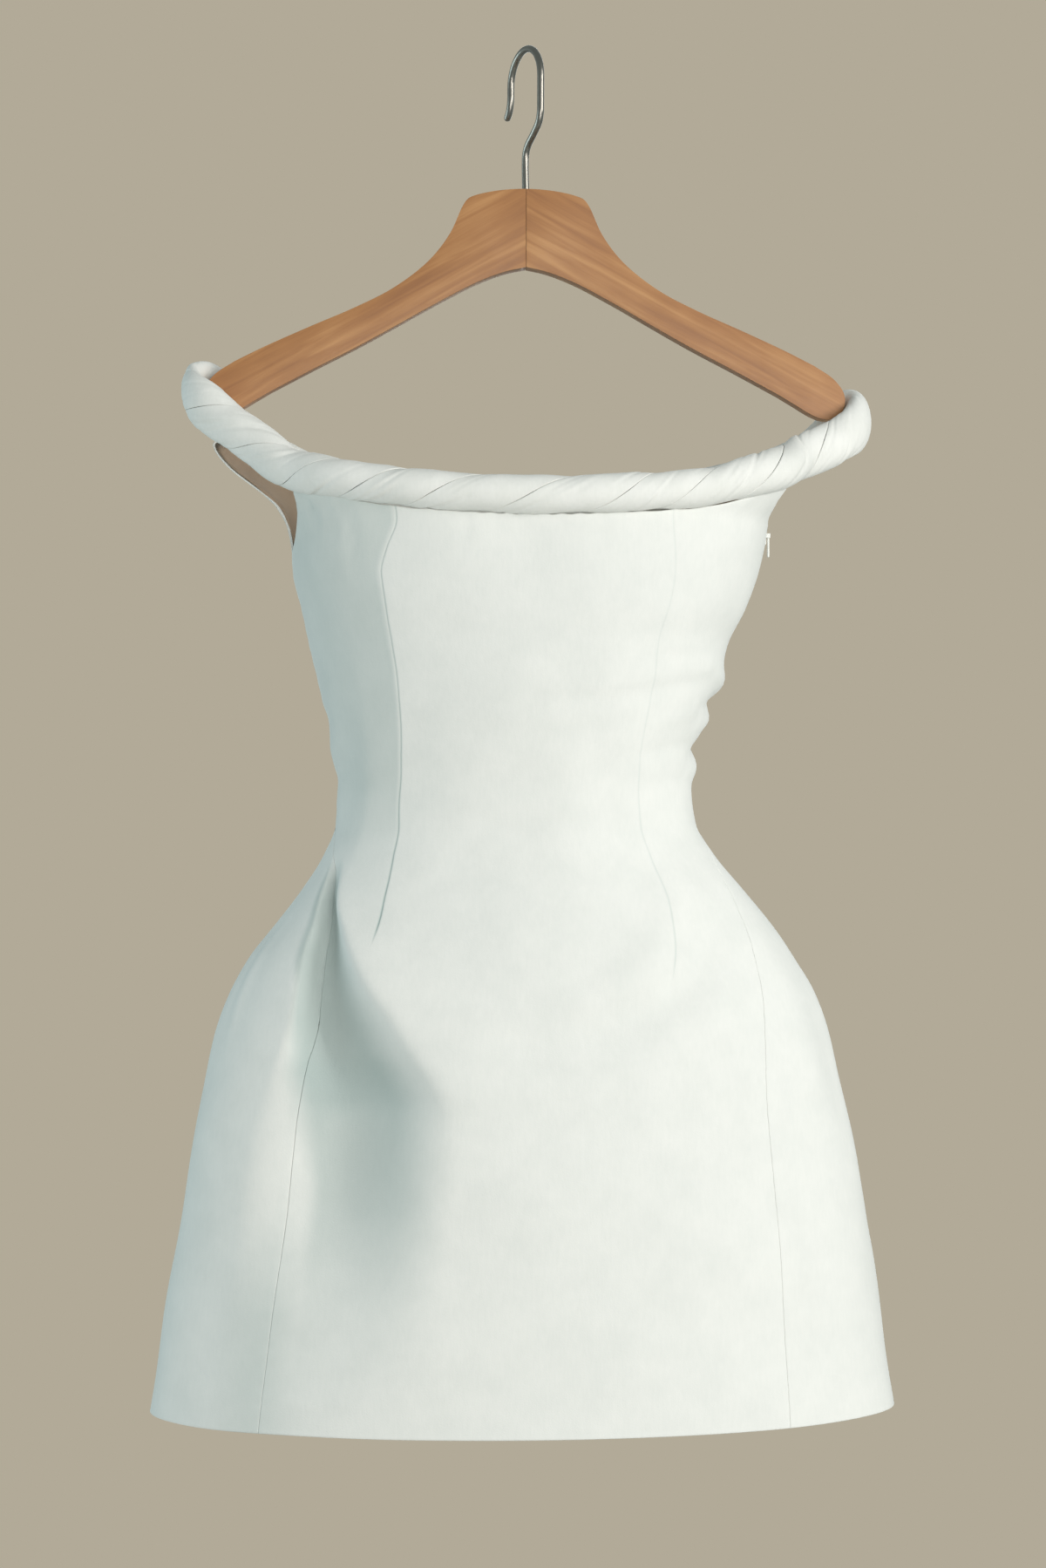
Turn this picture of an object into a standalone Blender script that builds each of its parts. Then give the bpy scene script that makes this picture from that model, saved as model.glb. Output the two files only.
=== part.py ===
"""Off-shoulder mini dress on a wooden hanger.

The dress is a hollow shell of crepe: a front panel, a back panel and two side gores, under a neck
band of two padded strands twisted round each other. The band runs round both ends of the hanger.
A concealed zip closes the side seam at +X, and its pull tab hangs at the underarm.

Every shape is worked out in millimetres and written in metres. The front faces -Y, +Z is up, and
the origin is the inner top of the hanger's hook. A place on the dress is a pair (deg, z): deg is 0
at the centre front, 90 at the +X side, -90 at the -X side and 180 at the centre back.
"""

import math

import bmesh
import bpy
import numpy as np

MM = 0.001

# ---- driving dimensions, mm -----------------------------------------------------------------

WALL = 1.8          # the crepe with its fusing
SEAM = 0.3          # gap at a seam, and between pieces that lie on each other
FACING = 1.0        # facing and zip tape
UNDERARM_LEFT_Z = -358.0
UNDERARM_RIGHT_Z = -339.5
# Heights of the rows of points, closest together where the waist buckles. Above the last one the
# rows climb to the top edge.
LEVEL_ROWS = (-962.5, -915.0, -868.0, -822.0, -778.0, -738.0, -702.0, -670.0, -642.0, -616.0, -592.0,
              -570.0, -548.0, -528.0, -511.0, -495.0, -479.0, -463.0, -447.0, -424.0, -400.0, -375.0)
YOKE_ROW = len(LEVEL_ROWS) - 1
CLIMB = (0.25, 0.5, 0.75, 0.93, 1.0)
GORE_TIP_Z = -548.0
FACING_FOOT_ROW = 20

# Level sections of the dress: half-widths to -X and +X, depths to the front and the back, and how
# square the section is (2 is an ellipse). Above the underarm only the back runs out this wide.
SECTION_COLUMNS = ("z", "left", "right", "front", "back", "square")
SECTIONS = (
    (-240.0, 243, 244, 100, 88, 2.5),
    (-262.0, 235, 236, 101, 88, 2.5),
    (-280.0, 225, 226, 102, 88, 2.5),
    (-296.0, 211, 213, 103, 88, 2.5),
    (-312.0, 190, 196, 103, 88, 2.5),
    (-323.0, 177, 184, 103, 88, 2.5),
    (-336.0, 170, 171.5, 103, 88, 2.5),
    (-350.0, 166.5, 169.3, 102, 88, 2.5),
    (-371.0, 165.5, 164.6, 101, 86, 2.4),
    (-396.0, 159.5, 155.6, 99, 83, 2.3),
    (-421.0, 153.5, 143.5, 95, 79, 2.2),
    (-446.0, 147, 138, 91, 76, 2.2),
    (-496.0, 137, 121, 81, 70, 2.1),
    (-525.0, 133, 117, 76, 68, 2.1),
    (-548.0, 134, 120, 75, 68, 2.1),
    (-570.0, 143, 133, 78, 72, 2.1),
    (-595.0, 159, 154, 85, 80, 2.1),
    (-619.0, 177, 174, 91, 88, 2.0),
    (-644.0, 196, 192, 96, 96, 2.0),
    (-669.0, 209, 207.5, 100, 103, 2.0),
    (-694.0, 218, 217.5, 103, 108, 2.0),
    (-731.0, 227, 226.5, 106, 112, 2.0),
    (-768.0, 235, 234.5, 108, 114, 2.0),
    (-830.0, 245, 245, 110, 116, 2.0),
    (-892.0, 255, 254, 111, 117, 2.0),
    (-965.0, 266, 264, 112, 118, 2.0),
)

# Side seams below the waist, in degrees from the centre front: the front and back edge of each gore.
GORE_COLUMNS = ("z", "left_front", "left_back", "right_front", "right_back")
GORE_SEAMS = (
    (GORE_TIP_Z, 89.6, 90.4, 89.6, 90.4),
    (-563.0, 76.0, 97.0, 78.0, 96.0),
    (-580.0, 65.0, 102.0, 69.0, 101.0),
    (-617.0, 56.0, 110.0, 60.0, 109.0),
    (-655.0, 49.0, 116.0, 53.0, 115.0),
    (-700.0, 46.0, 121.0, 47.5, 120.0),
    (-760.0, 45.5, 126.0, 44.5, 125.0),
    (-850.0, 45.0, 130.0, 43.5, 129.0),
    (-965.0, 45.0, 134.0, 42.0, 133.0),
)

# The band's centre line above the front and back edges, and its half thickness: deg, z, half.
BAND_FRONT = (
    (-60, -302.5, 15.0),
    (-50, -308.5, 14.2),
    (-38, -315.0, 13.7),
    (-22, -321.0, 13.3),
    (0, -324.0, 13.3),
    (22, -321.5, 13.3),
    (38, -317.0, 13.4),
    (50, -307.5, 14.6),
    (60, -299.0, 15.4),
)
BAND_BACK = (
    (108, -265.5, 13.8),
    (116, -281.0, 13.6),
    (126, -291.0, 13.4),
    (140, -301.0, 13.2),
    (158, -309.5, 13.2),
    (180, -314.0, 13.2),
    (202, -311.0, 13.2),
    (220, -301.0, 13.2),
    (234, -278.0, 13.4),
    (243, -263.0, 13.6),
)

# The band round the hanger's ends, its centre line and half thicknesses: x, y, z, outwards, upwards.
LOOP_RIGHT = (
    (189, -41, -291.5, 14.3, 15.6),
    (213, -29, -280.5, 13.5, 16.0),
    (231, -18, -269.0, 11.6, 16.3),
    (237.8, 0, -256.5, 9.6, 16.3),
    (232.5, 17, -250.5, 8.8, 15.0),
)
LOOP_LEFT = (
    (-215.0, 30, -239.5, 10.0, 14.0),
    (-225.5, 16.5, -232.5, 8.4, 14.0),
    (-235.2, 1, -237.5, 7.2, 14.0),
    (-233.5, -13.5, -245.5, 8.8, 15.5),
    (-226.0, -22.5, -254.5, 12.0, 16.5),
    (-207.5, -32, -270.5, 13.5, 15.8),
    (-187, -42, -286.0, 14.2, 15.0),
)
BAND_SECTIONS = 110
# How far the two strands have turned round each other, in whole turns, at shares of the band's
# length: tighter in some places than in others, and 11 turns in all.
BAND_TWIST = (
    (-0.05, -0.55), (0.0082, 0.16), (0.0557, 0.72), (0.1, 1.25), (0.153, 1.75), (0.2085, 2.25),
    (0.2475, 2.75), (0.2995, 3.25), (0.3534, 3.83), (0.4, 4.4), (0.95, 10.45), (1.0082, 11.16),
)
STRAND_ARC = (-80, -50, -18, 18, 50, 80)   # the round side of a strand's section, in degrees
BAND_GROOVE = 0.09     # how far the strands round off where they meet
BAND_HALF = 13.3       # half thickness that the next two are stated for
STRAND_GAP = 0.8       # between the two strands
STRAND_LIP = 0.05      # how far the flat side's rims lean back, as a share of that half thickness
BAND_CLEAR = 1.4       # from the band to the cloth's edge below it

# Armholes: the cloth's edge as (degrees from the centre front, z). None is where it meets the band.
ARMHOLE_FRONT_LEFT = (
    (56.0, None), (59.0, -325.0), (62.5, -335.0), (68.5, -346.0), (76.0, -354.0), (90.0, UNDERARM_LEFT_Z),
)
ARMHOLE_FRONT_RIGHT = (
    (60.0, None), (61.0, -320.0), (63.0, -327.0), (67.5, -332.5), (76.0, -337.5), (90.0, UNDERARM_RIGHT_Z),
)
ARMHOLE_BACK_LEFT = (
    (93.0, -345.0), (94.0, -334.0), (95.5, -320.0), (98.0, -303.0), (101.0, -288.0), (105.0, -279.0), (112.0, None),
)
ARMHOLE_BACK_RIGHT = (
    (94.0, -339.0), (98.0, -336.5), (106.0, -330.5), (113.0, -322.0), (118.0, -314.0), (121.0, None),
)

# Folds in the cloth: the height out of the surface (minus is a trough), the half-width across the
# fold, and the line it follows as (deg, z). A fold fades out over its ends.
FOLD_END = 0.06        # share of its length where the fading is held
FOLD_FADE = 0.6        # power of the fading
FOLDS = (
    # the hollow beside the left hip, under the belly's edge, and the fold that runs down from it
    (-12.0, 15.0, ((-64, -580), (-53, -612), (-43, -650), (-35, -685), (-27, -718), (-20, -742))),
    (-8.0, 24.0, ((-23, -722), (-22, -760), (-24, -800), (-26, -862))),
    # the belly's edge above that hollow
    (4.5, 12.0, ((-44, -592), (-34, -640), (-26, -672), (-19, -700), (-13, -724))),
    # the ridge beside the left side seam
    (5.0, 15.0, ((-72, -588), (-62, -640), (-54, -700), (-51, -800), (-50, -900))),
    # the soft arc under the belly on the right
    (-5.0, 16.0, ((56, -600), (46, -620), (35, -648), (26, -670), (15, -688), (0, -698))),
    (3.0, 14.0, ((43, -588), (32, -625), (22, -650), (10, -668))),
    # buckled cloth along the zip at the right side of the waist
    (4.0, 9.0, ((62, -440), (78, -446), (96, -448), (118, -443))),
    (-3.5, 6.0, ((66, -466), (82, -462), (96, -463), (112, -468))),
    (3.5, 7.0, ((70, -478), (84, -474), (98, -475), (114, -480))),
    (-4.0, 6.0, ((70, -500), (84, -494), (98, -494), (116, -500))),
    (3.0, 8.0, ((72, -512), (86, -508), (98, -508), (114, -513))),
    # the same kinds of folds on the back
    (-9.0, 20.0, ((126, -600), (133, -660), (143, -715), (150, -770))),
    (-8.0, 22.0, ((-124, -610), (-133, -670), (-140, -735), (-146, -800))),
    (-4.0, 20.0, ((160, -640), (180, -655), (-162, -648))),
)

# ---- hanger, mm -----------------------------------------------------------------------------

ARM_THICK = 14.0
ARM_ROUND = 3.2
JOINT_CLEAR = 3.0      # edges nearer the centre joint than this stay square
# Half of the hanger's outline, (x, z): the top from the centre out, the end, and the underside back in.
ARM_TOP = (
    (0, -98), (43, -105), (54, -130), (69, -149.5), (94, -169), (122, -183.5), (153, -197), (185, -211.5),
    (206, -222),
)
ARM_END = ((220, -231.5), (227.5, -242.5), (226, -254), (214, -260))
ARM_UNDER = (
    (180, -242.5), (147, -225), (118, -210), (92, -195.5), (62, -178.5), (34, -164), (14, -156.5), (0, -153.5),
)
HOOK_WIRE = 2.5        # radius of the wire
HOOK_BORE = 2.8        # radius of the hole it is set in
HOOK_TURN = 66.0       # degrees from the hanger's plane to the hook's plane
HOOK_BEND = 23.0       # radius of the bend's centre line
HOOK_FOOT_Z = -121.0
# The wire's line below the bend, in the hook's own plane: (along it, z).
HOOK_TIP = ((-23.3, -30.0), (-25.5, -37.0), (-30.0, -42.5))
HOOK_SHANK = (
    (0.0, HOOK_FOOT_Z), (0.0, -100.0), (0.0, -73.0), (3.0, -67.0), (12.0, -60.0), (20.0, -53.0), (23.0, -45.0),
)

# ---- zip, mm --------------------------------------------------------------------------------

ZIP_SIDE = 90.0
ZIP_OPEN = 1.3         # half the gap that the slider's neck passes through
ZIP_OPEN_Z = -352.0    # the seam is closed below this
TAPE_HALF = 10.5
TAPE_TOP_Z = -351.5
TAPE_FOOT_ROW = 8
TAPE_INSIDE = 1.6      # from the panels' inner side
SLIDER_Z = -345.0
NECK_HALF = 0.9
NECK_LONG = 3.0        # half the neck's length along the zip
LAP = 0.3              # how far joined shapes reach into each other
BODY = dict(inner=(-6.4, -3.5), half_y=3.2, half_z=3.6)
BRIDGE = dict(outer=(1.2, 2.0), half_y=1.9, half_z=4.0)
LUG = dict(outer=(1.7, 5.0), inner_y=1.35, outer_y=1.9, z=(0.9, 4.0))
PIN_OUT = 3.7
PIN_UP = 2.5
PIN_RADIUS = 0.5
PIN_SIDES = 12
EYE_RADIUS = 0.85
PULL_HEAD = 1.3
PULL_LENGTH = 15.5
PULL_HALF_TOP = 1.0
PULL_HALF_FOOT = 2.3
PULL_THICK = 1.3
PULL_BEVEL = 1.0       # length that the foot thins over
PULL_FLARE = 1.5       # power of the widening, so that the sides stay narrow between the lugs

# ---- finishes -------------------------------------------------------------------------------

FINISHES = {
    "crepe": ("#ECEDE9", 0.82, 0.0),
    "band crepe": ("#E6E6E1", 0.8, 0.0),
    "nude facing": ("#A8917A", 0.7, 0.0),
    "zip tape": ("#E4E4E0", 0.75, 0.0),
    "coated zip": ("#EDEDE9", 0.4, 0.0),
    "oiled wood": ("#B5855F", 0.5, 0.0),
    "steel wire": ("#8A8783", 0.3, 1.0),
}


# ---- curves and tables ----------------------------------------------------------------------

def smooth_line(xs, ys):
    """A curve through (xs, ys) with no overshoot, as a function of an array."""
    xs = np.asarray(xs, float)
    ys = np.asarray(ys, float)
    steps = np.diff(xs)
    rises = np.diff(ys) / steps
    slopes = np.zeros(len(xs))
    slopes[0] = rises[0]
    slopes[-1] = rises[-1]
    same = rises[:-1] * rises[1:] > 0
    first = 2 * steps[1:] + steps[:-1]
    second = steps[1:] + 2 * steps[:-1]
    near = np.where(same, rises[:-1], 1.0)
    far = np.where(same, rises[1:], 1.0)
    slopes[1:-1] = np.where(same, (first + second) / (first / near + second / far), 0.0)

    def read(x):
        x = np.clip(np.asarray(x, float), xs[0], xs[-1])
        k = np.clip(np.searchsorted(xs, x, side="right") - 1, 0, len(xs) - 2)
        t = (x - xs[k]) / steps[k]
        low = (2 * t**3 - 3 * t**2 + 1) * ys[k] + (3 * t**2 - 2 * t**3) * ys[k + 1]
        turn = (t**3 - 2 * t**2 + t) * slopes[k] + (t**3 - t**2) * slopes[k + 1]
        return low + turn * steps[k]

    return read


def table_lines(columns, rows):
    """One smooth line for each column after the first, read by the first column."""
    ordered = sorted(rows)
    keys = [row[0] for row in ordered]
    return {name: smooth_line(keys, [row[i] for row in ordered]) for i, name in enumerate(columns) if i}


def through(points, per_span, closed=False):
    """Dense points on a smooth curve through the given rows (centripetal spacing, any columns)."""
    rows = np.asarray(points, float)
    count = len(rows)
    if closed:
        rows = np.vstack([rows[-1], rows, rows[0], rows[1]])
        spans = count
    else:
        rows = np.vstack([2 * rows[0] - rows[1], rows, 2 * rows[-1] - rows[-2]])
        spans = count - 1
    out = []
    for k in range(spans):
        a, b, c, d = rows[k:k + 4]
        gaps = [max(np.linalg.norm((q - p)[:3]), 1e-6) ** 0.5 for p, q in ((a, b), (b, c), (c, d))]
        start = ((b - a) / gaps[0] - (c - a) / (gaps[0] + gaps[1]) + (c - b) / gaps[1]) * gaps[1]
        stop = ((c - b) / gaps[1] - (d - b) / (gaps[1] + gaps[2]) + (d - c) / gaps[2]) * gaps[1]
        for t in np.arange(per_span) / per_span:
            keep = (2 * t**3 - 3 * t**2 + 1) * b + (3 * t**2 - 2 * t**3) * c
            out.append(keep + (t**3 - 2 * t**2 + t) * start + (t**3 - t**2) * stop)
    if not closed:
        out.append(rows[-2])
    return np.array(out)


def evenly(points, count, closed=False):
    """The curve's rows read again at equal lengths along it."""
    rows = np.vstack([points, points[:1]]) if closed else points
    run = np.concatenate([[0.0], np.cumsum(np.linalg.norm(np.diff(rows[:, :3], axis=0), axis=1))])
    at = np.linspace(0.0, run[-1], count + 1)[:-1] if closed else np.linspace(0.0, run[-1], count)
    return np.stack([np.interp(at, run, rows[:, i]) for i in range(rows.shape[1])], axis=1)


# ---- the dress's surface --------------------------------------------------------------------

SECTION = table_lines(SECTION_COLUMNS, SECTIONS)
GORE = table_lines(GORE_COLUMNS, GORE_SEAMS)


def body(deg, z):
    """The smooth surface before folds."""
    deg, z = np.broadcast_arrays(np.asarray(deg, float), np.asarray(z, float))
    turn = np.radians(deg)
    side = np.sin(turn)
    fore = np.cos(turn)
    power = SECTION["square"](z)
    size = (np.abs(side) ** power + np.abs(fore) ** power) ** (1 / power)
    wide = np.where(side > 0, SECTION["right"](z), SECTION["left"](z))
    deep = np.where(fore > 0, SECTION["front"](z), SECTION["back"](z))
    return np.stack([wide * side / size, -deep * fore / size, z], axis=-1)


def outward(surface, deg, z):
    """Unit normals of a surface given as a function of (deg, z)."""
    across = surface(deg + 0.3, z) - surface(deg - 0.3, z)
    along = surface(deg, z + 0.6) - surface(deg, z - 0.6)
    normal = np.cross(across, along)
    return normal / np.linalg.norm(normal, axis=-1, keepdims=True)


def fold_height(deg, z):
    """How far the folds stand out of the surface."""
    girth = np.radians(1.0) * (SECTION["left"](z) + SECTION["front"](z)) / 2
    total = np.zeros(np.shape(z))
    for height, half, line in FOLDS:
        turns = np.array([p[0] for p in line], float)
        turns = turns[0] + np.concatenate([[0.0], np.cumsum((np.diff(turns) + 180) % 360 - 180)])
        off = (deg - turns.mean() + 180) % 360 - 180 + turns.mean()
        nearest = np.full(np.shape(z), np.inf)
        reach = np.zeros(np.shape(z))
        spans = len(line) - 1
        for k in range(spans):
            (_, z0), (_, z1) = line[k], line[k + 1]
            du = (turns[k + 1] - turns[k]) * girth
            dz = z1 - z0
            pu = (off - turns[k]) * girth
            pz = z - z0
            along = np.clip((pu * du + pz * dz) / (du**2 + dz**2), 0, 1)
            apart = np.hypot(pu - along * du, pz - along * dz)
            reach = np.where(apart < nearest, (k + along) / spans, reach)
            nearest = np.minimum(apart, nearest)
        taper = np.sin(np.pi * np.clip(reach, FOLD_END, 1 - FOLD_END)) ** FOLD_FADE
        total = total + height * taper * np.exp(-(nearest / half) ** 2)
    return total


def folded(deg, z):
    """The surface with its folds."""
    return body(deg, z) + outward(body, deg, z) * fold_height(deg, z)[..., None]


def skin(deg, z, out=0.0):
    """Points a distance `out` outside the folded surface; minus is inside it."""
    deg, z = np.broadcast_arrays(np.asarray(deg, float), np.asarray(z, float))
    return folded(deg, z) + outward(folded, deg, z) * out


def mm_per_degree(deg, z):
    """Length round the dress of one degree."""
    return np.linalg.norm(body(deg + 0.5, z) - body(deg - 0.5, z), axis=-1)


# ---- edges and seams ------------------------------------------------------------------------

def band_rows():
    """The band's centre line as rows of x, y, z, half thickness outwards and upwards."""
    rows = []
    for table, loop in ((BAND_FRONT, LOOP_RIGHT), (BAND_BACK, LOOP_LEFT)):
        for deg, z, half in table:
            x, y, _ = body(float(deg), z - half)
            rows.append((float(x), float(y), z, half, half))
        rows += [tuple(float(v) for v in row) for row in loop]
    return rows


BAND_LINE = through(band_rows(), 24, closed=True)


def band_edge(first, last):
    """Height of the cloth's edge, just clear of the band above it, over an arc of degrees."""
    degrees = np.arange(first, last + 0.1, 2.0)
    heights = np.arange(-345.0, -250.0, 0.25)
    line = BAND_LINE[::4]
    edge = []
    for deg in degrees:
        room = np.full(len(heights), np.inf)
        for out in (0.0, -WALL):
            points = skin(deg, heights, out)
            apart = np.linalg.norm(points[:, None, :] - line[None, :, :3], axis=2)
            room = np.minimum(room, (apart - line[None, :, 4]).min(axis=1))
        blocked = np.nonzero(room < BAND_CLEAR)[0]
        edge.append(heights[blocked[0] - 1])
    return smooth_line(degrees, edge)


FRONT_EDGE = band_edge(-62.0, 62.0)
BACK_EDGE = band_edge(106.0, 248.0)


def armhole(rows, side, edge):
    """An armhole edge as a function of degrees; its open end meets the band's edge."""
    points = []
    for deg, z in rows:
        at = side * deg % 360 if edge is BACK_EDGE else side * deg
        points.append((deg, float(edge(at)) if z is None else z))
    return smooth_line([p[0] for p in points], [p[1] for p in points])


FRONT_CORNER = {-1: ARMHOLE_FRONT_LEFT[0][0], 1: ARMHOLE_FRONT_RIGHT[0][0]}
BACK_CORNER = {-1: ARMHOLE_BACK_LEFT[-1][0], 1: ARMHOLE_BACK_RIGHT[-1][0]}
ARMHOLES = {
    (-1, "front"): armhole(ARMHOLE_FRONT_LEFT, -1, FRONT_EDGE),
    (1, "front"): armhole(ARMHOLE_FRONT_RIGHT, 1, FRONT_EDGE),
    (-1, "back"): armhole((ARMHOLE_FRONT_LEFT[-1], *ARMHOLE_BACK_LEFT), -1, BACK_EDGE),
    (1, "back"): armhole((ARMHOLE_FRONT_RIGHT[-1], *ARMHOLE_BACK_RIGHT), 1, BACK_EDGE),
}


def top_edge(deg):
    """Height of the cloth's upper edge all round."""
    turn = (np.asarray(deg, float) + 180) % 360 - 180
    apart = np.abs(turn)
    side = np.where(turn < 0, -1, 1)
    front = FRONT_EDGE(np.clip(turn, -62, 62))
    back = BACK_EDGE(turn % 360)
    hole_front = np.where(side < 0, ARMHOLES[-1, "front"](apart), ARMHOLES[1, "front"](apart))
    hole_back = np.where(side < 0, ARMHOLES[-1, "back"](apart), ARMHOLES[1, "back"](apart))
    height = np.where(apart <= np.where(side < 0, FRONT_CORNER[-1], FRONT_CORNER[1]), front, hole_front)
    height = np.where(apart > 90.0, hole_back, height)
    return np.where(apart > np.where(side < 0, BACK_CORNER[-1], BACK_CORNER[1]), back, height)


def row_height(row, deg):
    """Height of a row of points: level up to the yoke row, then climbing to the top edge."""
    level = LEVEL_ROWS[min(row, YOKE_ROW)]
    climb = CLIMB[row - YOKE_ROW - 1] if row > YOKE_ROW else 0.0
    return level + (top_edge(deg) - level) * climb


def seam_degree(side, edge, z):
    """Where a gore's front or back seam lies; above the gore both are the side seam."""
    name = ("left_" if side < 0 else "right_") + edge
    return side * np.where(z > GORE_TIP_Z, 90.0, GORE[name](z))


def seam_gap(side, z):
    """Half the gap between the two edges of a side seam."""
    opened = (side > 0) & (z > ZIP_OPEN_Z)
    return np.where(opened, ZIP_OPEN, SEAM / 2)


# ---- meshes ---------------------------------------------------------------------------------

def linear(colour):
    """An sRGB hex colour as linear RGBA."""
    parts = [int(colour[i:i + 2], 16) / 255 for i in (1, 3, 5)]
    return [p / 12.92 if p <= 0.04045 else ((p + 0.055) / 1.055) ** 2.4 for p in parts] + [1.0]


def finish(name):
    """The named material, made once."""
    if name in bpy.data.materials:
        return bpy.data.materials[name]
    colour, roughness, metallic = FINISHES[name]
    material = bpy.data.materials.new(name)
    material.use_nodes = True
    shader = material.node_tree.nodes["Principled BSDF"]
    shader.inputs["Base Color"].default_value = linear(colour)
    shader.inputs["Roughness"].default_value = roughness
    shader.inputs["Metallic"].default_value = metallic
    return material


def add_object(name, points, faces, material, sharp=40.0):
    """A mesh object from points in mm, shaded smooth up to the given angle."""
    mesh = bpy.data.meshes.new(name)
    mesh.from_pydata([tuple(float(c) * MM for c in p) for p in points], [], faces)
    mesh.validate()
    mesh.shade_smooth()
    mesh.set_sharp_from_angle(angle=math.radians(sharp))
    mesh.materials.append(finish(material))
    thing = bpy.data.objects.new(name, mesh)
    bpy.context.scene.collection.objects.link(thing)
    return thing


def wall(name, grid, outer, inner, material):
    """A wall between two offsets of the surface, over a grid of degrees and heights.

    Row 0 is the lowest. Degrees grow along a row, so that the outer side faces out. Both side rims
    are split along the same diagonal, so that two walls fit at a seam.
    """
    rows, columns = grid[0].shape
    outside, inside = (skin(*grid, out).reshape(-1, 3) for out in (outer, inner))
    count = rows * columns
    faces = []
    for r in range(rows - 1):
        for c in range(columns - 1):
            a = r * columns + c
            b, up, over = a + 1, a + columns, a + columns + 1
            faces += [(a, b, over), (a, over, up)]
            faces += [(count + a, count + over, count + b), (count + a, count + up, count + over)]
    bottom = [c for c in range(columns)]
    right = [r * columns + columns - 1 for r in range(rows)]
    top = [(rows - 1) * columns + c for c in reversed(range(columns))]
    left = [r * columns for r in reversed(range(rows))]
    for edge in (bottom, right, top):
        for a, b in zip(edge, edge[1:]):
            faces += [(b, a, count + a), (b, count + a, count + b)]
    for a, b in zip(left, left[1:]):
        faces += [(b, a, count + b), (a, count + a, count + b)]
    return add_object(name, np.vstack([outside, inside]), faces, material)


def cloth_grid(rows, shares, start, stop):
    """Degrees and heights of a panel whose side edges are functions of height."""
    degrees = np.zeros((len(rows), len(shares)))
    heights = np.zeros_like(degrees)
    for r, row in enumerate(rows):
        low = start(row)
        high = stop(row)
        degrees[r] = low + (high - low) * np.asarray(shares)
        heights[r] = row_height(row, degrees[r])
    return degrees, heights


def seam_edge(side, edge, towards):
    """A panel's edge on a side seam, drawn back from it by half the gap, by row."""
    def read(row):
        deg = side * 90.0
        for _ in range(6):
            z = float(row_height(row, np.array(deg)))
            deg = float(seam_degree(side, edge, z))
        return deg + towards * float(seam_gap(side, z)) / float(mm_per_degree(deg, z))
    return read


# ---- the pieces -----------------------------------------------------------------------------

ALL_ROWS = range(len(LEVEL_ROWS) + len(CLIMB))


def spread(points, counts):
    """Shares from 0 to 1 with a given number of steps between the given points."""
    shares = [points[0]]
    for a, b, count in zip(points, points[1:], counts):
        shares += [a + (b - a) * (k + 1) / count for k in range(count)]
    return shares


def add_front():
    left, right = ((90.0 - FRONT_CORNER[side]) / 180.0 for side in (-1, 1))
    shares = spread((0.0, left, 1 - right, 1.0), (4, 14, 4))
    edges = seam_edge(-1, "front", 1), seam_edge(1, "front", -1)
    wall("front_panel", cloth_grid(ALL_ROWS, shares, *edges), 0.0, -WALL, "crepe")


def back_grid(rows):
    wing_left, wing_right = ((BACK_CORNER[side] - 90.0) / 180.0 for side in (-1, 1))
    shares = spread((0.0, wing_right, 1 - 2 * wing_left, 1 - wing_left, 1.0), (6, 10, 4, 5))
    left = seam_edge(-1, "back", -1)
    edges = seam_edge(1, "back", 1), lambda row: left(row) + 360.0
    return cloth_grid(rows, shares, *edges)


def add_back():
    wall("back_panel", back_grid(ALL_ROWS), 0.0, -WALL, "crepe")


def add_gores():
    shares = spread((0.0, 1.0), (8,))
    rows = range(LEVEL_ROWS.index(GORE_TIP_Z) + 1)
    for side, name in ((-1, "side_gore_left"), (1, "side_gore_right")):
        if side < 0:
            edges = seam_edge(side, "back", 1), seam_edge(side, "front", -1)
        else:
            edges = seam_edge(side, "front", 1), seam_edge(side, "back", -1)
        wall(name, cloth_grid(rows, shares, *edges), 0.0, -WALL, "crepe")


def add_facing():
    """The facing lies on the back panel's own points, moved inwards, and stays clear of the zip."""
    grid = [part[:, 2:-1] for part in back_grid(ALL_ROWS[FACING_FOOT_ROW:-1])]
    outer = -WALL - SEAM
    wall("back_facing", grid, outer, outer - FACING, "nude facing")


def add_strands():
    line = evenly(BAND_LINE, BAND_SECTIONS, closed=True)
    centre = line[:, :3]
    ahead = np.roll(centre, -1, axis=0) - np.roll(centre, 1, axis=0)
    ahead /= np.linalg.norm(ahead, axis=1, keepdims=True)
    out = np.cross(ahead, (0.0, 0.0, 1.0))
    out /= np.linalg.norm(out, axis=1, keepdims=True)
    up = np.cross(out, ahead)
    arc = np.radians(STRAND_ARC)
    radius = 1 - BAND_GROOVE * (np.abs(arc) / arc[-1]) ** 3
    gap = STRAND_GAP / 2 / BAND_HALF
    across = radius * np.sin(arc)
    away = np.maximum(radius * np.cos(arc), gap)
    shape = [*zip(away, across), (gap, 0.0)]
    shape[0] = (gap + STRAND_LIP, across[0])
    shape[-2] = (gap + STRAND_LIP, across[-1])
    twist = smooth_line(*zip(*BAND_TWIST))
    for strand, name in enumerate(("twist_strand_a", "twist_strand_b")):
        points = []
        for k in range(BAND_SECTIONS):
            turn = 2 * math.pi * (float(twist(k / BAND_SECTIONS)) + strand / 2)
            for a, b in shape:
                level = a * math.cos(turn) - b * math.sin(turn)
                rise = a * math.sin(turn) + b * math.cos(turn)
                points.append(centre[k] + out[k] * level * line[k, 3] + up[k] * rise * line[k, 4])
        size = len(shape)
        faces = []
        for k in range(BAND_SECTIONS):
            for j in range(size):
                a, b = k * size + j, k * size + (j + 1) % size
                far = (k + 1) % BAND_SECTIONS * size
                c, d = far + j, far + (j + 1) % size
                flat = j >= size - 2
                if flat and strand:
                    faces += [(a, c, b), (b, c, d)]
                else:
                    faces += [(a, d, b), (a, c, d)]
        add_object(name, points, faces, "band crepe", sharp=50.0)


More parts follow.
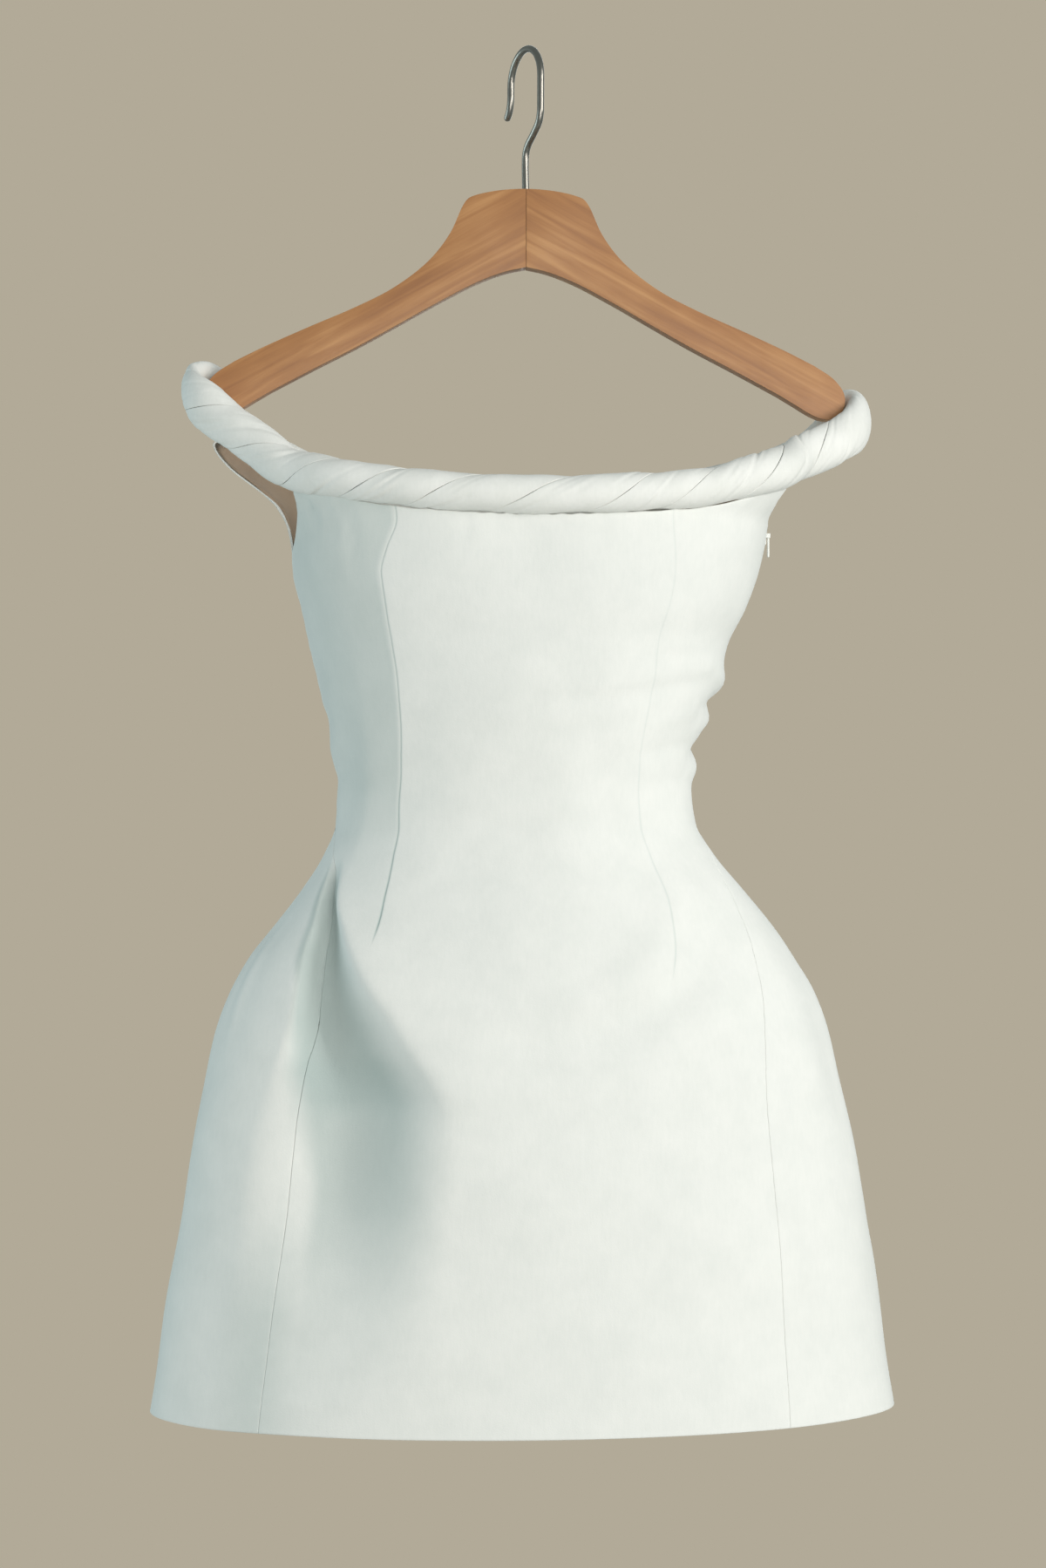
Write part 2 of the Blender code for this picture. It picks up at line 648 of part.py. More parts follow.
def add_arms():
    """The two halves of the hanger, each with half of the hook's hole in its joint face."""
    top = through(ARM_TOP[1:], 2)
    end = through((ARM_TOP[-1], *ARM_END, ARM_UNDER[0]), 2)[1:-1]
    under = through(ARM_UNDER, 2)
    outline = np.vstack([[ARM_TOP[0]], top, end[:-1], under])
    outline[0, 0] = SEAM / 2
    outline[-1, 0] = SEAM / 2
    for side, name in ((-1, "hanger_arm_left"), (1, "hanger_arm_right")):
        build = bmesh.new()
        order = outline if side > 0 else outline[::-1]
        ring = [build.verts.new((side * x * MM, -ARM_THICK / 2 * MM, z * MM)) for x, z in order]
        face = build.faces.new(ring)
        pushed = bmesh.ops.extrude_face_region(build, geom=[face])["geom"]
        moved = [v for v in pushed if isinstance(v, bmesh.types.BMVert)]
        bmesh.ops.translate(build, verts=moved, vec=(0, ARM_THICK * MM, 0))
        bmesh.ops.recalc_face_normals(build, faces=build.faces)
        rim = [e for e in build.edges
               if abs(e.verts[0].co.y - e.verts[1].co.y) < 1e-6
               and max(abs(v.co.x) for v in e.verts) > JOINT_CLEAR * MM]
        bmesh.ops.bevel(build, geom=rim, offset=ARM_ROUND * MM, segments=2, profile=0.5,
                        affect="EDGES", clamp_overlap=True)
        bmesh.ops.triangulate(build, faces=build.faces)
        mesh = bpy.data.meshes.new(name)
        build.to_mesh(mesh)
        build.free()
        mesh.shade_smooth()
        mesh.set_sharp_from_angle(angle=math.radians(35))
        mesh.materials.append(finish("oiled wood"))
        arm = bpy.data.objects.new(name, mesh)
        bpy.context.scene.collection.objects.link(arm)
        cut(arm, hook_bore())


def hook_bore():
    """A cutter for the hook's hole."""
    if "hook_bore" in bpy.data.objects:
        return bpy.data.objects["hook_bore"]
    high = ARM_TOP[0][1] + HOOK_BORE * 2
    low = HOOK_FOOT_Z - SEAM
    build = bmesh.new()
    bmesh.ops.create_cone(build, cap_ends=True, segments=16, radius1=HOOK_BORE * MM,
                          radius2=HOOK_BORE * MM, depth=(high - low) * MM)
    mesh = bpy.data.meshes.new("hook_bore")
    build.to_mesh(mesh)
    build.free()
    cutter = bpy.data.objects.new("hook_bore", mesh)
    cutter.location.z = (high + low) / 2 * MM
    cutter.hide_render = True
    cutter.display_type = "WIRE"
    bpy.context.scene.collection.objects.link(cutter)
    return cutter


def cut(thing, cutter):
    """Take the cutter's shape out of a piece."""
    modifier = thing.modifiers.new("cut", "BOOLEAN")
    modifier.operation = "DIFFERENCE"
    modifier.solver = "EXACT"
    modifier.object = cutter


def add_hook():
    """The bent wire: shank, offset bend, round top and free tip, in its own upright plane."""
    top_z = HOOK_WIRE - HOOK_BEND
    arc = [(HOOK_BEND * math.cos(a), top_z + HOOK_BEND * math.sin(a)) for a in np.radians(range(0, 181, 20))]
    lower = through(HOOK_SHANK, 3)
    tip = through((arc[-1], *HOOK_TIP), 2)
    line = [*lower, *arc, *tip[1:]]
    turn = math.radians(HOOK_TURN)
    curve = bpy.data.curves.new("hanger_hook", "CURVE")
    curve.dimensions = "3D"
    curve.bevel_depth = HOOK_WIRE * MM
    curve.bevel_resolution = 3
    curve.use_fill_caps = True
    spline = curve.splines.new("POLY")
    spline.points.add(len(line) - 1)
    for point, (u, z) in zip(spline.points, line):
        point.co = (u * math.cos(turn) * MM, -u * math.sin(turn) * MM, z * MM, 1.0)
    curve.materials.append(finish("steel wire"))
    hook = bpy.data.objects.new("hanger_hook", curve)
    bpy.context.scene.collection.objects.link(hook)


def zip_line(z):
    """Degrees of the zip: the side seam, then the back seam of the gore."""
    return float(seam_degree(1, "back", z))


def add_tape():
    """The closed zip's tape, on the panels' own rows."""
    heights = np.array([*LEVEL_ROWS[TAPE_FOOT_ROW:], TAPE_TOP_Z])
    shares = np.array((-1.0, 0.0, 1.0)) * TAPE_HALF
    degrees = np.array([zip_line(z) + shares / float(mm_per_degree(zip_line(z), z)) for z in heights])
    outer = -WALL - TAPE_INSIDE
    wall("zip_tape", (degrees, np.repeat(heights[:, None], 3, axis=1)), outer, outer - FACING, "zip tape")


def box_faces(build, low, high):
    """Adds a box between two corners, in mm."""
    made = bmesh.ops.create_cube(build, size=1.0)["verts"]
    for v in made:
        v.co = [(a + b) / 2 * MM + c * (b - a) * MM for a, b, c in zip(low, high, v.co)]


def shape_object(name, fill, material=None):
    """An object whose mesh `fill` builds; without a material it is a helper."""
    build = bmesh.new()
    fill(build)
    mesh = bpy.data.meshes.new(name)
    build.to_mesh(mesh)
    build.free()
    thing = bpy.data.objects.new(name, mesh)
    bpy.context.scene.collection.objects.link(thing)
    if material:
        mesh.materials.append(finish(material))
    else:
        thing.hide_render = True
        thing.display_type = "WIRE"
    return thing


def rod_across(build, x, z, radius, half_y, sides):
    """Adds a cylinder along Y."""
    made = bmesh.ops.create_cone(build, cap_ends=True, segments=sides, radius1=radius * MM,
                                 radius2=radius * MM, depth=2 * half_y * MM)["verts"]
    for v in made:
        v.co = (x * MM + v.co.x, -v.co.z, z * MM + v.co.y)


def join(thing, other):
    """Add another shape to a piece."""
    modifier = thing.modifiers.new("join", "BOOLEAN")
    modifier.operation = "UNION"
    modifier.solver = "EXACT"
    modifier.object = other


def add_zip_metal():
    """The slider, and the pull tab on its pin."""
    seat = float(skin(ZIP_SIDE, SLIDER_Z)[0])

    def neck(build):
        box_faces(build, (seat + BODY["inner"][1] - LAP, -NECK_HALF, SLIDER_Z - NECK_LONG),
                  (seat + BRIDGE["outer"][0] + LAP, NECK_HALF, SLIDER_Z + NECK_LONG))

    def inner_body(build):
        low, high = BODY["inner"]
        box_faces(build, (seat + low, -BODY["half_y"], SLIDER_Z - BODY["half_z"]),
                  (seat + high, BODY["half_y"], SLIDER_Z + BODY["half_z"]))

    def bridge(build):
        low, high = BRIDGE["outer"]
        box_faces(build, (seat + low, -BRIDGE["half_y"], SLIDER_Z - BRIDGE["half_z"]),
                  (seat + high, BRIDGE["half_y"], SLIDER_Z + BRIDGE["half_z"]))

    def lug(side):
        def fill(build):
            low, high = LUG["outer"]
            near, far = sorted((side * LUG["inner_y"], side * LUG["outer_y"]))
            box_faces(build, (seat + low, near, SLIDER_Z + LUG["z"][0]),
                      (seat + high, far, SLIDER_Z + LUG["z"][1]))
        return fill

    def pin(build):
        rod_across(build, seat + PIN_OUT, SLIDER_Z + PIN_UP, PIN_RADIUS, LUG["inner_y"] + LAP, PIN_SIDES)

    slider = shape_object("zip_slider", neck, "coated zip")
    helpers = (inner_body, bridge, lug(-1), lug(1), pin)
    for k, fill in enumerate(helpers):
        join(slider, shape_object(f"slider_part_{k}", fill))

    def tab(build):
        """A flat drop: a round head on the pin, widening towards a thin foot."""
        head = [(PULL_HEAD * math.cos(a), PULL_HEAD * math.sin(a)) for a in np.radians((0, 45, 90, 135, 180))]
        neck_z, foot_z = -PULL_HEAD, PULL_BEVEL - PULL_LENGTH
        half_thick = PULL_THICK / 2
        profile = [*head, (-half_thick, neck_z), (-half_thick, foot_z), (0.0, -PULL_LENGTH),
                   (half_thick, foot_z), (half_thick, neck_z)]
        rings = []
        for sign in (-1, 1):
            ring = []
            for x, z in profile:
                share = min(max(-z / PULL_LENGTH, 0.0), 1.0)
                half = PULL_HALF_TOP + (PULL_HALF_FOOT - PULL_HALF_TOP) * share**PULL_FLARE
                ring.append(build.verts.new((x * MM, sign * half * MM, z * MM)))
            rings.append(ring)
        count = len(profile)
        for k in range(count):
            n = (k + 1) % count
            build.faces.new((rings[0][k], rings[0][n], rings[1][n], rings[1][k]))
        build.faces.new(rings[0])
        build.faces.new(rings[1][::-1])
        bmesh.ops.recalc_face_normals(build, faces=build.faces)
        bmesh.ops.triangulate(build, faces=build.faces)

    def eye(build):
        rod_across(build, 0.0, 0.0, EYE_RADIUS, 2 * PULL_HALF_FOOT, PIN_SIDES)

    pull = shape_object("zip_pull", tab, "coated zip")
    pull_eye = shape_object("pull_eye", eye)
    pull_eye.parent = pull
    pull.location = ((seat + PIN_OUT) * MM, 0.0, (SLIDER_Z + PIN_UP) * MM)
    cut(pull, pull_eye)


def main():
    for thing in list(bpy.data.objects):
        bpy.data.objects.remove(thing)
    add_front()
    add_back()
    add_gores()
    add_facing()
    add_strands()
    add_arms()
    add_hook()
    add_tape()
    add_zip_metal()


if __name__ == "__main__":
    main()
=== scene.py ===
"""Off-shoulder mini dress on its wooden hanger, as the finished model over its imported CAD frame.

The dress is a hollow shell of matte crepe: a front and a back panel and two side gores, under a
neck band of two padded strands twisted round each other, which runs round both ends of the hanger.
A concealed zip closes the side seam at +X, and its pull tab hangs at the underarm.

Shapes are worked out in millimetres and written in metres. The front faces -Y, +Z is up, and the
origin is the inner top of the hanger's hook. A place on the dress is a pair (deg, z): deg is 0 at
the centre front, 90 at the +X side, -90 at the -X side and 180 at the centre back.
"""

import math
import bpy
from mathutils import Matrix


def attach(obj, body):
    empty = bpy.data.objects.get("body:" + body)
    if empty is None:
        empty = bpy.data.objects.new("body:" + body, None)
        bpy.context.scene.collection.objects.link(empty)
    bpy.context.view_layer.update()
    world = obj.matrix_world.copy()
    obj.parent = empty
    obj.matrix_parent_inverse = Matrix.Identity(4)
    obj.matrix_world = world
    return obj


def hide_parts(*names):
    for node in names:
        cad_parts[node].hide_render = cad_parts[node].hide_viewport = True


bl_info = {
    "name": "Off-shoulder mini dress",
    "version": (1, 0, 0),
    "blender": (4, 5, 0),
    "location": "View3D > Sidebar > Dress",
    "description": "Dresses the packed frame in its cloth, band, zip and hanger, and sets the studio",
    "category": "Add Mesh",
}

import bmesh
import bpy
import numpy as np

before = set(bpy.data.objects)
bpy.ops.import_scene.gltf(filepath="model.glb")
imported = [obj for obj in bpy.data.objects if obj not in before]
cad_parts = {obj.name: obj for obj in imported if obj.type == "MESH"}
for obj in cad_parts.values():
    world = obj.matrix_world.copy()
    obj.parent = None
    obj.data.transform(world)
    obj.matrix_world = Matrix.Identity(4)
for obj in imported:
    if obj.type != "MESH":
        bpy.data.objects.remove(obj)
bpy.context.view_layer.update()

MM = 0.001

# ---- driving dimensions, mm ----

WALL = 1.8          # the crepe with its fusing
SEAM = 0.3          # gap at a seam, and between pieces that lie on each other
FACING = 1.0        # facing and zip tape
UNDERARM_LEFT_Z = -358.0
UNDERARM_RIGHT_Z = -339.5
HEM_Z = -962.5
YOKE_Z = -375.0        # above this the cloth's rows climb to its upper edge
FACING_FOOT_Z = -400.0
GORE_TIP_Z = -548.0

# Level sections of the dress: half-widths to -X and +X, depths to the front and the back, and how
# square the section is (2 is an ellipse). Above the underarm only the back runs out this wide.
SECTION_COLUMNS = ("z", "left", "right", "front", "back", "square")
SECTIONS = (
    (-240, 243, 244, 100, 88, 2.5),
    (-262, 235, 236, 101, 88, 2.5),
    (-280, 225, 226, 102, 88, 2.5),
    (-296, 211, 213, 103, 88, 2.5),
    (-312, 190, 196, 103, 88, 2.5),
    (-323, 177, 184, 103, 88, 2.5),
    (-336, 170, 171.5, 103, 88, 2.5),
    (-350, 166.5, 169.3, 102, 88, 2.5),
    (-371, 165.5, 164.6, 101, 86, 2.4),
    (-396, 159.5, 155.6, 99, 83, 2.3),
    (-421, 153.5, 143.5, 95, 79, 2.2),
    (-446, 147, 138, 91, 76, 2.2),
    (-496, 137, 121, 81, 70, 2.1),
    (-525, 133, 117, 76, 68, 2.1),
    (-548, 134, 120, 75, 68, 2.1),
    (-570, 143, 133, 78, 72, 2.1),
    (-595, 159, 154, 85, 80, 2.1),
    (-619, 177, 174, 91, 88, 2),
    (-644, 196, 192, 96, 96, 2),
    (-669, 209, 207.5, 100, 103, 2),
    (-694, 218, 217.5, 103, 108, 2),
    (-731, 227, 226.5, 106, 112, 2),
    (-768, 235, 234.5, 108, 114, 2),
    (-830, 245, 245, 110, 116, 2),
    (-892, 255, 254, 111, 117, 2),
    (-965, 266, 264, 112, 118, 2),
)

# Side seams below the waist, in degrees from the centre front: the front and back edge of each gore.
GORE_COLUMNS = ("z", "left_front", "left_back", "right_front", "right_back")
GORE_SEAMS = (
    (GORE_TIP_Z, 89.6, 90.4, 89.6, 90.4),
    (-563, 76, 97, 78, 96),
    (-580, 65, 102, 69, 101),
    (-617, 56, 110, 60, 109),
    (-655, 49, 116, 53, 115),
    (-700, 46, 121, 47.5, 120),
    (-760, 45.5, 126, 44.5, 125),
    (-850, 45, 130, 43.5, 129),
    (-965, 45, 134, 42, 133),
)

# The band's centre line above the front and back edges, and its half thickness: deg, z, half.
BAND_FRONT = (
    (-60, -302.5, 15),
    (-50, -308.5, 14.2),
    (-38, -315, 13.7),
    (-22, -321, 13.3),
    (0, -324, 13.3),
    (22, -321.5, 13.3),
    (38, -317, 13.4),
    (50, -307.5, 14.6),
    (60, -299, 15.4),
)
BAND_BACK = (
    (108, -265.5, 13.8),
    (116, -281, 13.6),
    (126, -291, 13.4),
    (140, -301, 13.2),
    (158, -309.5, 13.2),
    (180, -314, 13.2),
    (202, -311, 13.2),
    (220, -301, 13.2),
    (234, -278, 13.4),
    (243, -263, 13.6),
)

# The band round the hanger's ends, its centre line and half thicknesses: x, y, z, outwards, upwards.
LOOP_RIGHT = (
    (189, -41, -291.5, 14.3, 15.6),
    (213, -29, -280.5, 13.5, 16),
    (231, -18, -269, 11.6, 16.3),
    (237.8, 0, -256.5, 9.6, 16.3),
    (232.5, 17, -250.5, 8.8, 15),
)
LOOP_LEFT = (
    (-215, 30, -239.5, 10, 14),
    (-225.5, 16.5, -232.5, 8.4, 14),
    (-235.2, 1, -237.5, 7.2, 14),
    (-233.5, -13.5, -245.5, 8.8, 15.5),
    (-226, -22.5, -254.5, 12, 16.5),
    (-207.5, -32, -270.5, 13.5, 15.8),
    (-187, -42, -286, 14.2, 15),
)
# How far the two strands have turned round each other, in whole turns, at shares of the band's
# length: tighter in some places than in others, and 11 turns in all.
BAND_TWIST = (
    (-0.05, -0.55), (0.0082, 0.16), (0.0557, 0.72), (0.1, 1.25), (0.153, 1.75), (0.2085, 2.25),
    (0.2475, 2.75), (0.2995, 3.25), (0.3534, 3.83), (0.4, 4.4), (0.95, 10.45), (1.0082, 11.16),
)
BAND_HALF = 13.3       # half thickness that the gap between the strands is stated for
BAND_CLEAR = 1.4       # from the band to the cloth's edge below it

# Armholes: the cloth's edge as (degrees from the centre front, z). None is where it meets the band.
ARMHOLE_FRONT_LEFT = (
    (56, None), (59, -325), (62.5, -335), (68.5, -346), (76, -354),
    (90, UNDERARM_LEFT_Z),
)
ARMHOLE_FRONT_RIGHT = (
    (60, None), (61, -320), (63, -327), (67.5, -332.5), (76, -337.5),
    (90, UNDERARM_RIGHT_Z),
)
ARMHOLE_BACK_LEFT = (
    (93, -345), (94, -334), (95.5, -320), (98, -303), (101, -288), (105, -279),
    (112, None),
)
ARMHOLE_BACK_RIGHT = (
    (94, -339), (98, -336.5), (106, -330.5), (113, -322), (118, -314), (121, None),
)

# Folds in the cloth: the height out of the surface (minus is a trough), the half-width across the
# fold, and the line it follows as (deg, z). A fold fades out over its ends.
FOLD_END = 0.06        # share of its length where the fading is held
FOLD_FADE = 0.6        # power of the fading
FOLDS = (
    # the hollow beside the left hip, under the belly's edge, and the fold that runs down from it
    (-12, 15, ((-64, -580), (-53, -612), (-43, -650), (-35, -685), (-27, -718), (-20, -742))),
    (-8, 24, ((-23, -722), (-22, -760), (-24, -800), (-26, -862))),
    # the belly's edge above that hollow
    (4.5, 12, ((-44, -592), (-34, -640), (-26, -672), (-19, -700), (-13, -724))),
    # the ridge beside the left side seam
    (5, 15, ((-72, -588), (-62, -640), (-54, -700), (-51, -800), (-50, -900))),
    # the soft arc under the belly on the right
    (-5, 16, ((56, -600), (46, -620), (35, -648), (26, -670), (15, -688), (0, -698))),
    (3, 14, ((43, -588), (32, -625), (22, -650), (10, -668))),
    # buckled cloth along the zip at the right side of the waist
    (4, 9, ((62, -440), (78, -446), (96, -448), (118, -443))),
    (-3.5, 6, ((66, -466), (82, -462), (96, -463), (112, -468))),
    (3.5, 7, ((70, -478), (84, -474), (98, -475), (114, -480))),
    (-4, 6, ((70, -500), (84, -494), (98, -494), (116, -500))),
    (3, 8, ((72, -512), (86, -508), (98, -508), (114, -513))),
    # the same kinds of folds on the back
    (-9, 20, ((126, -600), (133, -660), (143, -715), (150, -770))),
    (-8, 22, ((-124, -610), (-133, -670), (-140, -735), (-146, -800))),
    (-4, 20, ((160, -640), (180, -655), (-162, -648))),
)

# ---- hanger, mm ----

ARM_THICK = 14.0
ARM_ROUND = 3.2
JOINT_CLEAR = 3.0      # edges nearer the centre joint than this stay square
# Half of the hanger's outline, (x, z). The top has a low arch, carried a step over the centre so that
# it is level there, and then slopes; after it come the end, and the underside back in.
ARM_CROWN = (
    (-20, -99.4), (0, -98), (20, -99.4), (35, -102.6), (41, -105.2), (45, -110.5),
)
ARM_TOP = (
    (54, -130), (69, -149.5), (94, -169), (122, -183.5), (153, -197), (185, -211.5), (206, -222),
)
ARM_END = ((220, -231.5), (227.5, -242.5), (226, -254), (214, -260))
ARM_UNDER = (
    (180, -242.5), (147, -225), (118, -210), (92, -195.5), (62, -178.5), (34, -164), (14, -156.5),
    (0, -153.5),
)
HOOK_WIRE = 2.5        # radius of the wire
HOOK_BORE = 2.8        # radius of the hole it is set in
HOOK_TURN = 66.0       # degrees from the hanger's plane to the hook's plane
HOOK_BEND = 23.0       # radius of the bend's centre line
HOOK_STEP = 10         # degrees of the bend between two points of its line
HOOK_FOOT_Z = -121.0
# The wire's line below the bend, in the hook's own plane: (along it, z).
HOOK_TIP = ((-23.3, -30.0), (-25.5, -37.0), (-30.0, -42.5))
HOOK_SHANK = (
    (0, HOOK_FOOT_Z), (0, -100), (0, -73), (3, -67), (12, -60), (20, -53),
    (23, -45),
)

# ---- zip, mm ----

ZIP_SIDE = 90.0
ZIP_OPEN = 1.3         # half the gap that the slider's neck passes through
ZIP_OPEN_Z = -352.0    # the seam is closed below this
ZIP_OPEN_OVER = 5.0    # height that it opens over
TAPE_HALF = 10.5
TAPE_TOP_Z = -351.5
TAPE_FOOT_Z = -642.0
TAPE_STEP = 3.0
TAPE_INSIDE = 1.6      # from the panels' inner side
SLIDER_Z = -345.0
# The slider's boxes, each from and to outwards from the seam, across the zip and upwards, and how far the
# edges are rounded. They lap into each other a little.
SLIDER_BOXES = (
    ((-6.4, -3.5), (-3.2, 3.2), (-3.6, 3.6), 0.7),     # the body inside the dress
    ((-3.8, 1.5), (-0.9, 0.9), (-3.0, 3.0), 0.15),     # the neck through the seam
    ((1.2, 2.0), (-1.9, 1.9), (-4.0, 4.0), 0.45),      # the bridge
    ((1.7, 5.0), (-1.9, -1.35), (0.9, 4.0), 0.2),      # the two lugs that hold the pull's pin
    ((1.7, 5.0), (1.35, 1.9), (0.9, 4.0), 0.2),
)
PIN_OUT = 3.7
PIN_UP = 2.5
PIN_RADIUS = 0.5
PIN_HALF = 1.65
EYE_RADIUS = 0.85
PULL_HEAD = 1.3
PULL_LENGTH = 15.5
PULL_HALF_TOP = 1.0
PULL_HALF_FOOT = 2.3
PULL_THICK = 1.3
PULL_BEVEL = 1.0       # length that the foot thins over
PULL_FLARE = 1.5       # power of the widening, so that the sides stay narrow between the lugs
PULL_FOOT = (1.9, 0.6)     # height over which the foot narrows to its end, and how strongly
# Across the pull: share of its half width, and how far the outline is drawn in there.
PULL_SECTIONS = (
    (-1.0, 0.28), (-0.94, 0.1), (-0.78, 0.0), (0.0, 0.0), (0.78, 0.0), (0.94, 0.1), (1.0, 0.28),
)
PULL_SOFT = 0.6        # distance from the middle within which that drawing in eases off


# ---- curves and tables ----

def unit(vectors):
    """The vectors scaled to a length of 1."""
    return vectors / np.linalg.norm(vectors, axis=-1, keepdims=True)


def wrapped(deg):
    """Degrees brought to between -180 and 180."""
    return (np.asarray(deg, float) + 180) % 360 - 180


def eased(share):
    """A soft step from 0 to 1 while the share grows from 0 to 1."""
    share = np.clip(share, 0, 1)
    return share * share * (3 - 2 * share)


def stretches(points):
    """Lengths of the steps from each point to the next."""
    return np.linalg.norm(np.diff(points[:, :3], axis=0), axis=1)


def between(t, start, stop, leaving, arriving):
    """A smooth way from start to stop with the given slopes at both, at shares t of it."""
    level = (2 * t**3 - 3 * t**2 + 1) * start + (3 * t**2 - 2 * t**3) * stop
    return level + (t**3 - 2 * t**2 + t) * leaving + (t**3 - t**2) * arriving


def smooth_line(xs, ys):
    """A curve through (xs, ys) with no overshoot, as a function of an array."""
    xs = np.asarray(xs, float)
    ys = np.asarray(ys, float)
    steps = np.diff(xs)
    rises = np.diff(ys) / steps
    slopes = np.zeros(len(xs))
    slopes[0] = rises[0]
    slopes[-1] = rises[-1]
    same = rises[:-1] * rises[1:] > 0
    first = 2 * steps[1:] + steps[:-1]
    second = steps[1:] + 2 * steps[:-1]
    near = np.where(same, rises[:-1], 1.0)
    far = np.where(same, rises[1:], 1.0)
    slopes[1:-1] = np.where(same, (first + second) / (first / near + second / far), 0.0)

    def read(x):
        x = np.clip(np.asarray(x, float), xs[0], xs[-1])
        k = np.clip(np.searchsorted(xs, x, side="right") - 1, 0, len(xs) - 2)
        t = (x - xs[k]) / steps[k]
        return between(t, ys[k], ys[k + 1], slopes[k] * steps[k], slopes[k + 1] * steps[k])

    return read


def table_lines(columns, rows):
    """One smooth line for each column after the first, read by the first column."""
    ordered = sorted(rows)
    keys = [row[0] for row in ordered]
    return {name: smooth_line(keys, [row[i] for row in ordered]) for i, name in enumerate(columns) if i}


def through(points, per_span, closed=False):
    """Dense points on a smooth curve through the given rows (centripetal spacing, any columns)."""
    rows = np.asarray(points, float)
    count = len(rows)
    if closed:
        rows = np.vstack([rows[-1], rows, rows[0], rows[1]])
        spans = count
    else:
        rows = np.vstack([2 * rows[0] - rows[1], rows, 2 * rows[-1] - rows[-2]])
        spans = count - 1
    out = []
    for k in range(spans):
        a, b, c, d = rows[k:k + 4]
        gaps = [max(np.linalg.norm((q - p)[:3]), 1e-6) ** 0.5 for p, q in ((a, b), (b, c), (c, d))]
        start = ((b - a) / gaps[0] - (c - a) / (gaps[0] + gaps[1]) + (c - b) / gaps[1]) * gaps[1]
        stop = ((c - b) / gaps[1] - (d - b) / (gaps[1] + gaps[2]) + (d - c) / gaps[2]) * gaps[1]
        out += [between(t, b, c, start, stop) for t in np.arange(per_span) / per_span]
    if not closed:
        out.append(rows[-2])
    return np.array(out)


def evenly(points, count, closed=False):
    """The curve's rows read again at equal lengths along it."""
    rows = np.vstack([points, points[:1]]) if closed else points
    run = np.concatenate([[0.0], np.cumsum(stretches(rows))])
    at = np.linspace(0.0, run[-1], count + 1)[:-1] if closed else np.linspace(0.0, run[-1], count)
    return np.stack([np.interp(at, run, rows[:, i]) for i in range(rows.shape[1])], axis=1)


# ---- the dress's surface ----

SECTION = table_lines(SECTION_COLUMNS, SECTIONS)
GORE = table_lines(GORE_COLUMNS, GORE_SEAMS)
SLOPE_DEGREES = 0.3    # how far to either side a surface's slope is read, round it and up it
SLOPE_MM = 0.6


def body(deg, z):
    """The smooth surface before folds."""
    deg, z = np.broadcast_arrays(np.asarray(deg, float), np.asarray(z, float))
    turn = np.radians(deg)
    side = np.sin(turn)
    fore = np.cos(turn)
    power = SECTION["square"](z)
    size = (np.abs(side) ** power + np.abs(fore) ** power) ** (1 / power)
    wide = np.where(side > 0, SECTION["right"](z), SECTION["left"](z))
    deep = np.where(fore > 0, SECTION["front"](z), SECTION["back"](z))
    return np.stack([wide * side / size, -deep * fore / size, z], axis=-1)


def outward(surface, deg, z):
    """Unit normals of a surface given as a function of (deg, z)."""
    across = surface(deg + SLOPE_DEGREES, z) - surface(deg - SLOPE_DEGREES, z)
    along = surface(deg, z + SLOPE_MM) - surface(deg, z - SLOPE_MM)
    return unit(np.cross(across, along))


def unrolled(line):
    """A line's degrees, with no jump at the centre back, and its heights."""
    turns, levels = np.array(line, float).T
    return turns[0] + np.concatenate([[0.0], np.cumsum(wrapped(np.diff(turns)))]), levels


def beside(turns, levels, deg, z, scale):
    """Distance from a line, how far along it that is as a share, and which side of it as a sign."""
    nearest = np.full(np.shape(z), np.inf)
    share = np.zeros(np.shape(z))
    side = np.zeros(np.shape(z))
    spans = len(turns) - 1
    for k in range(spans):
        du = (turns[k + 1] - turns[k]) * scale
        dz = levels[k + 1] - levels[k]
        pu = (deg - turns[k]) * scale
        pz = z - levels[k]
        along = np.clip((pu * du + pz * dz) / (du**2 + dz**2), 0, 1)
        apart = np.hypot(pu - along * du, pz - along * dz)
        closer = apart < nearest
        share = np.where(closer, (k + along) / spans, share)
        side = np.where(closer, pu * dz - pz * du, side)
        nearest = np.minimum(apart, nearest)
    return nearest, share, side


def tapered(share):
    """How much of a fold is left at a share of its length."""
    return np.sin(np.pi * np.clip(share, FOLD_END, 1 - FOLD_END)) ** FOLD_FADE


def fold_height(deg, z, folds=FOLDS):
    """How far the folds stand out of the surface."""
    girth = np.radians(1.0) * (SECTION["left"](z) + SECTION["front"](z)) / 2
    total = np.zeros(np.shape(z))
    for height, half, line in folds:
        turns, levels = unrolled(line)
        near = wrapped(deg - turns.mean()) + turns.mean()
        nearest, share, _ = beside(turns, levels, near, z, girth)
        total = total + height * tapered(share) * np.exp(-(nearest / half) ** 2)
    return total


def folded(deg, z):
    """The surface with its folds."""
    return body(deg, z) + outward(body, deg, z) * fold_height(deg, z)[..., None]


def skin(deg, z, out=0.0):
    """Points a distance `out` outside the folded surface; minus is inside it."""
    deg, z = np.broadcast_arrays(np.asarray(deg, float), np.asarray(z, float))
    return folded(deg, z) + outward(folded, deg, z) * out


def mm_per_degree(deg, z):
    """Length round the dress of one degree."""
    return np.linalg.norm(body(deg + 0.5, z) - body(deg - 0.5, z), axis=-1)


# ---- edges and seams ----

def band_rows():
    """The band's centre line as rows of x, y, z, half thickness outwards and upwards."""
    rows = []
    for table, loop in ((BAND_FRONT, LOOP_RIGHT), (BAND_BACK, LOOP_LEFT)):
        for deg, z, half in table:
            x, y, _ = body(float(deg), z - half)
            rows.append((float(x), float(y), z, half, half))
        rows += [tuple(float(v) for v in row) for row in loop]
    return rows


